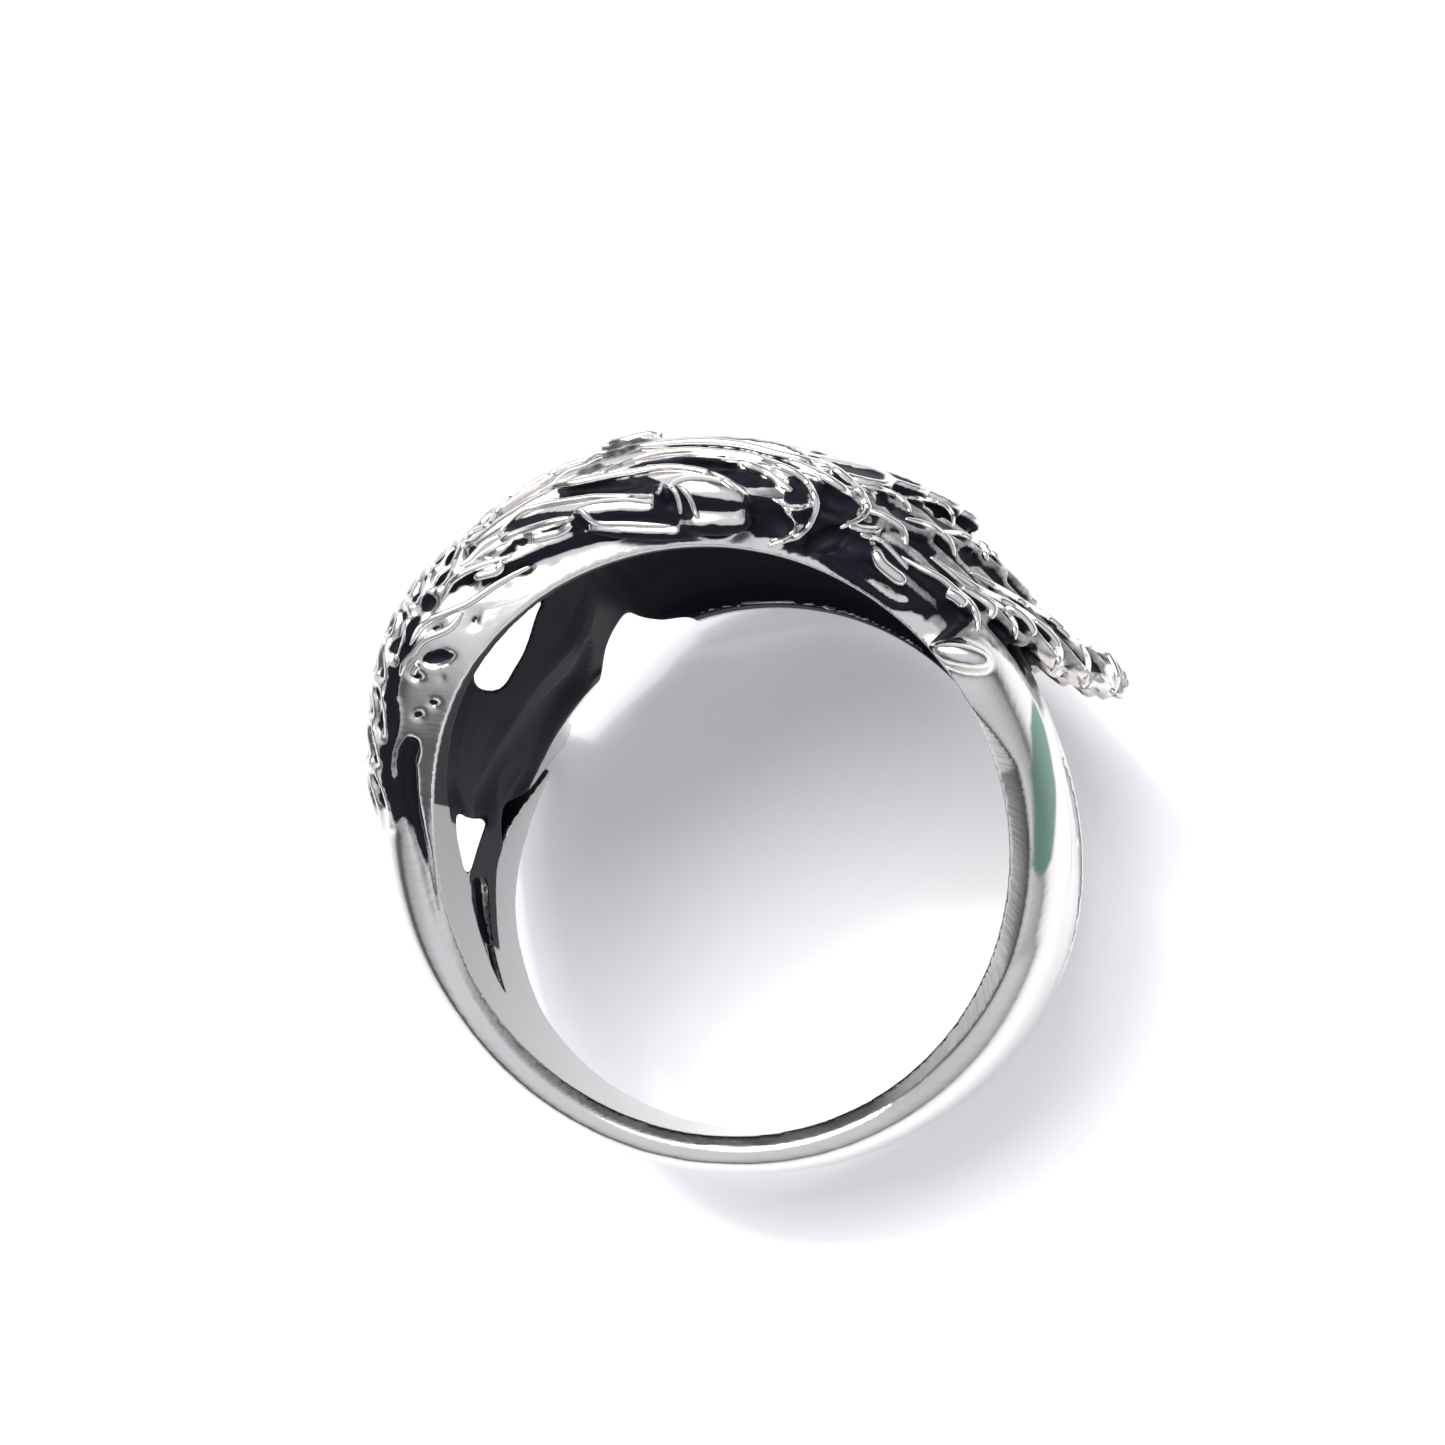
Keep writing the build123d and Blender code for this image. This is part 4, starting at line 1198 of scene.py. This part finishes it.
skin_mesh.vertices.foreach_get("normal", normals.reshape(-1))
loops = [np.array(p.vertices) for p in skin_mesh.polygons]
middle_turn = np.array([turns[loop].mean() if np.ptp(turns[loop]) < 90 else 179.0
                        for loop in loops])
SECTORS = (("swan_ring_shank", -200, -100), ("swan_ring_breast", -100, -36),
           ("swan_ring_back", -36, 14), ("swan_ring_tail", 14, 70),
           ("swan_ring_flank", 70, 200))
ring_pieces = []
for name, low, high in SECTORS:
    keep = np.nonzero((middle_turn >= low) & (middle_turn < high))[0]
    ring_pieces.append(sector(name, keep, loops, normals))
    print(name, len(keep), "faces")
bpy.data.meshes.remove(skin_mesh)

# %% [markdown]
# The rims are finer than a voxel, so a remesh would blur them. They stay a
# crisp piece of their own, sunk in the skin, with no darkness: they are bright.

# %% The rims
rims = joined("swan_ring_rims", strands)
rims.transform(LAY_DOWN)
rims.polygons.foreach_set("use_smooth", [True] * len(rims.polygons))
ring_pieces.append(in_place("swan_ring_rims", rims))
print("rims", len(rims.polygons), "faces")

# %% [markdown]
# ## Silver, bright and blackened
# Polished silver is a nearly perfect mirror, so its look comes almost wholly
# from what it reflects. The blackening is a rough sulphide film: dark, slightly
# blue, and dull. A node group turns the measured darkness into a mask between
# the two, and grain breaks up its edge, as the polisher's wheel does.

# %% Node helpers and the mask of the blackening
def feed(tree, socket, value):
    """Link another socket to this one, or set its value."""
    if isinstance(value, bpy.types.NodeSocket):
        tree.links.new(value, socket)
    else:
        socket.default_value = value


def add(tree, kind, inputs=(), **settings):
    """A node with its settings, and its inputs by name or number."""
    made = tree.nodes.new(kind)
    for key, value in settings.items():
        setattr(made, key, value)
    for label, value in dict(inputs).items():
        feed(tree, made.inputs[label], value)
    return made


def group(name, inputs, outputs):
    """A node group with named value sockets, and its two end nodes."""
    made = bpy.data.node_groups.new(name, "ShaderNodeTree")
    for label, value in inputs:
        socket = made.interface.new_socket(label, in_out="INPUT", socket_type="NodeSocketFloat")
        socket.default_value = value
    for label in outputs:
        made.interface.new_socket(label, in_out="OUTPUT", socket_type="NodeSocketFloat")
    return made, made.nodes.new("NodeGroupInput"), made.nodes.new("NodeGroupOutput")


mask_group, ins, outs = group(
    "Blackened mask", (("Dark", 0.0), ("Breakup", 0.35), ("Scale", 2500.0)), ("Mask",))
coords = add(mask_group, "ShaderNodeTexCoord")
grain = add(mask_group, "ShaderNodeTexNoise", {
    "Vector": coords.outputs["Object"], "Scale": ins.outputs["Scale"], "Detail": 5.0})
centred = add(mask_group, "ShaderNodeMath", {0: grain.outputs["Fac"], 1: 0.5},
              operation="SUBTRACT")
broken = add(mask_group, "ShaderNodeMath", {
    0: centred.outputs[0], 1: ins.outputs["Breakup"], 2: ins.outputs["Dark"]},
    operation="MULTIPLY_ADD")
edge = add(mask_group, "ShaderNodeMapRange", {
    "Value": broken.outputs[0], "From Min": 0.3, "From Max": 0.7},
    interpolation_type="SMOOTHSTEP")
feed(mask_group, outs.inputs["Mask"], edge.outputs["Result"])
print("node group:", mask_group.name)

# %% [markdown]
# Even a polished ring is worn. Fine scratches run one way, where cloth and
# fingers rub, and broad faint blotches make it a little duller here and there.
# Stretched noise gives the scratches and plain noise the blotches.

# %% The fine wear
wear_group, ins, outs = group(
    "Fine wear", (("Roughness", 0.12), ("Amount", 0.14)), ("Roughness", "Height"))
coords = add(wear_group, "ShaderNodeTexCoord")
stretch = add(wear_group, "ShaderNodeMapping", {
    "Vector": coords.outputs["Object"], "Scale": (900.0, 900.0, 9000.0),
    "Rotation": (0.5, 0.3, 0.0)})
scratch = add(wear_group, "ShaderNodeTexNoise", {
    "Vector": stretch.outputs["Vector"], "Scale": 1.0, "Detail": 4.0})
blotch = add(wear_group, "ShaderNodeTexNoise", {
    "Vector": coords.outputs["Object"], "Scale": 400.0})
rough = add(wear_group, "ShaderNodeMath", {
    0: blotch.outputs["Fac"], 1: ins.outputs["Amount"], 2: ins.outputs["Roughness"]},
    operation="MULTIPLY_ADD")
feed(wear_group, outs.inputs["Roughness"], rough.outputs[0])
feed(wear_group, outs.inputs["Height"], scratch.outputs["Fac"])
print("node group:", wear_group.name)

# %% [markdown]
# One material dresses the whole ring, as one casting has one metal. The painted
# green reflection tints and dulls the silver, and the blackening then covers both.
# Where it lies, the surface is a dull film and no bare metal, so Metallic goes to 0.

# %% The silver material
# The second colour is the green of a reflection painted on the flank
SILVER, REFLECTION_GREEN = (0.80, 0.78, 0.75, 1.0), (0.21, 0.34, 0.29, 1.0)
SULPHIDE = (0.009, 0.009, 0.016, 1.0)
silver = bpy.data.materials.new("Blackened and polished silver")
silver.use_nodes = True
shading = silver.node_tree
dark_value = add(shading, "ShaderNodeAttribute", attribute_name="dark")
# Reads the painted green reflection
reflection_value = add(shading, "ShaderNodeAttribute", attribute_name="painted_reflection")
mask = add(shading, "ShaderNodeGroup", node_tree=mask_group)
feed(shading, mask.inputs["Dark"], dark_value.outputs["Fac"])
wear = add(shading, "ShaderNodeGroup", node_tree=wear_group)


def blended(factor, first, second, kind="FLOAT"):
    """The result of a mix between two values or sockets."""
    inputs = {"Factor": factor, "A": first, "B": second}
    return add(shading, "ShaderNodeMix", inputs, data_type=kind).outputs["Result"]


black = mask.outputs["Mask"]
# Where the green reflection is painted, the silver is tinted and made duller
metal = blended(reflection_value.outputs["Fac"], SILVER, REFLECTION_GREEN, "RGBA")
dull = blended(reflection_value.outputs["Fac"], wear.outputs["Roughness"], 0.45)
bump = add(shading, "ShaderNodeBump", {
    "Strength": 0.05, "Distance": 0.0001, "Height": wear.outputs["Height"]})
surface = shading.nodes["Principled BSDF"]
feed(shading, surface.inputs["Base Color"], blended(black, metal, SULPHIDE, "RGBA"))
feed(shading, surface.inputs["Roughness"], blended(black, dull, 0.48))
feed(shading, surface.inputs["Metallic"], blended(black, 1.0, 0.0))
feed(shading, surface.inputs["Normal"], bump.outputs["Normal"])
surface.inputs["Specular IOR Level"].default_value = 0.14
for piece in ring_pieces:
    piece.data.materials.append(silver)
print(silver.name, "on", len(ring_pieces), "pieces")

# %% [markdown]
# ## Table, light and camera
# The photograph is a bright product shot on a glossy white sheet. The sheet
# glows a little, as white paper does under many lamps, which keeps the ring's
# shadow pale and its colour cool.

# %% The white sheet
sheet = bpy.data.materials.new("Glossy white sheet")
sheet.use_nodes = True
for label, value in (("Base Color", (0.93, 0.93, 0.94, 1)), ("Roughness", 0.12),
                     ("Emission Color", (0.93, 0.93, 1.0, 1)), ("Emission Strength", 0.22)):
    sheet.node_tree.nodes["Principled BSDF"].inputs[label].default_value = value
bpy.ops.mesh.primitive_plane_add(size=3.0, location=(0, 0, 0))
floor = bpy.context.object
floor.name = "white_sheet"
floor.data.materials.append(sheet)
floor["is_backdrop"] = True
print("sheet", floor.dimensions.x, "m wide")

# %% [markdown]
# One soft lamp stands above and behind the ring. It is small enough to leave a
# shadow inside the finger hole, and large enough for a soft edge.

# %% The soft lamp
LAMP_AT, LAMP_SIZE, LAMP_WATTS = Vector((-0.05, 0.09, 0.32)), (0.32, 0.26), 1.10
lamp_data = bpy.data.lights.new("key", "AREA")
lamp_data.shape = "RECTANGLE"
lamp_data.size, lamp_data.size_y = LAMP_SIZE
lamp_data.energy = LAMP_WATTS
lamp_data.color = (1.0, 0.985, 0.96)
lamp = bpy.data.objects.new("key", lamp_data)
lamp.location = LAMP_AT
lamp.rotation_euler = (-LAMP_AT).to_track_quat("-Z", "Y").to_euler()
bpy.context.scene.collection.objects.link(lamp)
bpy.context.scene.view_settings.view_transform = "Standard"
print("lamp", round(LAMP_AT.length, 2), "m away")

# %% [markdown]
# The camera stands close overhead and looks nearly straight down the finger
# hole. Its place and turn came from the fit to the hole's rims, in the ring's
# own frame, so it is laid down with the ring.

# %% The camera
SENSOR = 36.0
camera_data = bpy.data.cameras.new("camera")
camera_data.sensor_width = SENSOR
camera_data.lens = SENSOR * FOCAL / PHOTO_WIDTH
camera_data.clip_start = 0.005
camera = bpy.data.objects.new("camera", camera_data)
bpy.context.scene.collection.objects.link(camera)
camera.matrix_world = Matrix.Translation(LAY_DOWN @ CAMERA_AT) @ TILT @ TURNED.to_4x4()
bpy.context.scene.camera = camera
look = camera.matrix_world.to_3x3() @ Vector((0, 0, -1))
print("camera elevation in degrees", round(math.degrees(math.asin(-look.z)), 1))

# %% [markdown]
# A mirror shows its room. Here the room is a white tent, bright overhead and
# bright again near the table, with one dark ring low down between them. Every
# metal face turned that way goes dark, and that is what draws the soft dark
# lines along the polished band. The tent is fixed in the room, so it stays
# where it is in every view.

# %% The white tent and its dark ring
TENT_STOPS = ((0.0, 0.85), (0.12, 0.18), (0.36, 0.06), (0.60, 0.50), (0.92, 0.76))
world = bpy.data.worlds.new("White tent")
bpy.context.scene.world = world
world.use_nodes = True
tent = world.node_tree
direction = add(tent, "ShaderNodeTexCoord")
height_in_tent = add(tent, "ShaderNodeVectorMath", {0: direction.outputs["Generated"], 1: -look},
                     operation="DOT_PRODUCT")
walls = add(tent, "ShaderNodeValToRGB", {"Fac": height_in_tent.outputs["Value"]})
walls.color_ramp.interpolation = "EASE"
steps = walls.color_ramp.elements
while len(steps) < len(TENT_STOPS):
    steps.new(0.5)
for element, (position, value) in zip(steps, TENT_STOPS):
    element.position = position
    element.color = (value * 0.96, value * 0.97, value * 1.05, 1.0)
feed(tent, tent.nodes["Background"].inputs["Color"], walls.outputs["Color"])
tent.nodes["Background"].inputs["Strength"].default_value = 1.0
print("tent stops", TENT_STOPS)

# %% [markdown]
# Last, the box of the finished ring is printed in millimetres.

# %% Sizes for the record
bpy.context.view_layer.update()
low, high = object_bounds()
print("visual box in mm", [round(v * 1000, 2) for v in (*low, *high)])
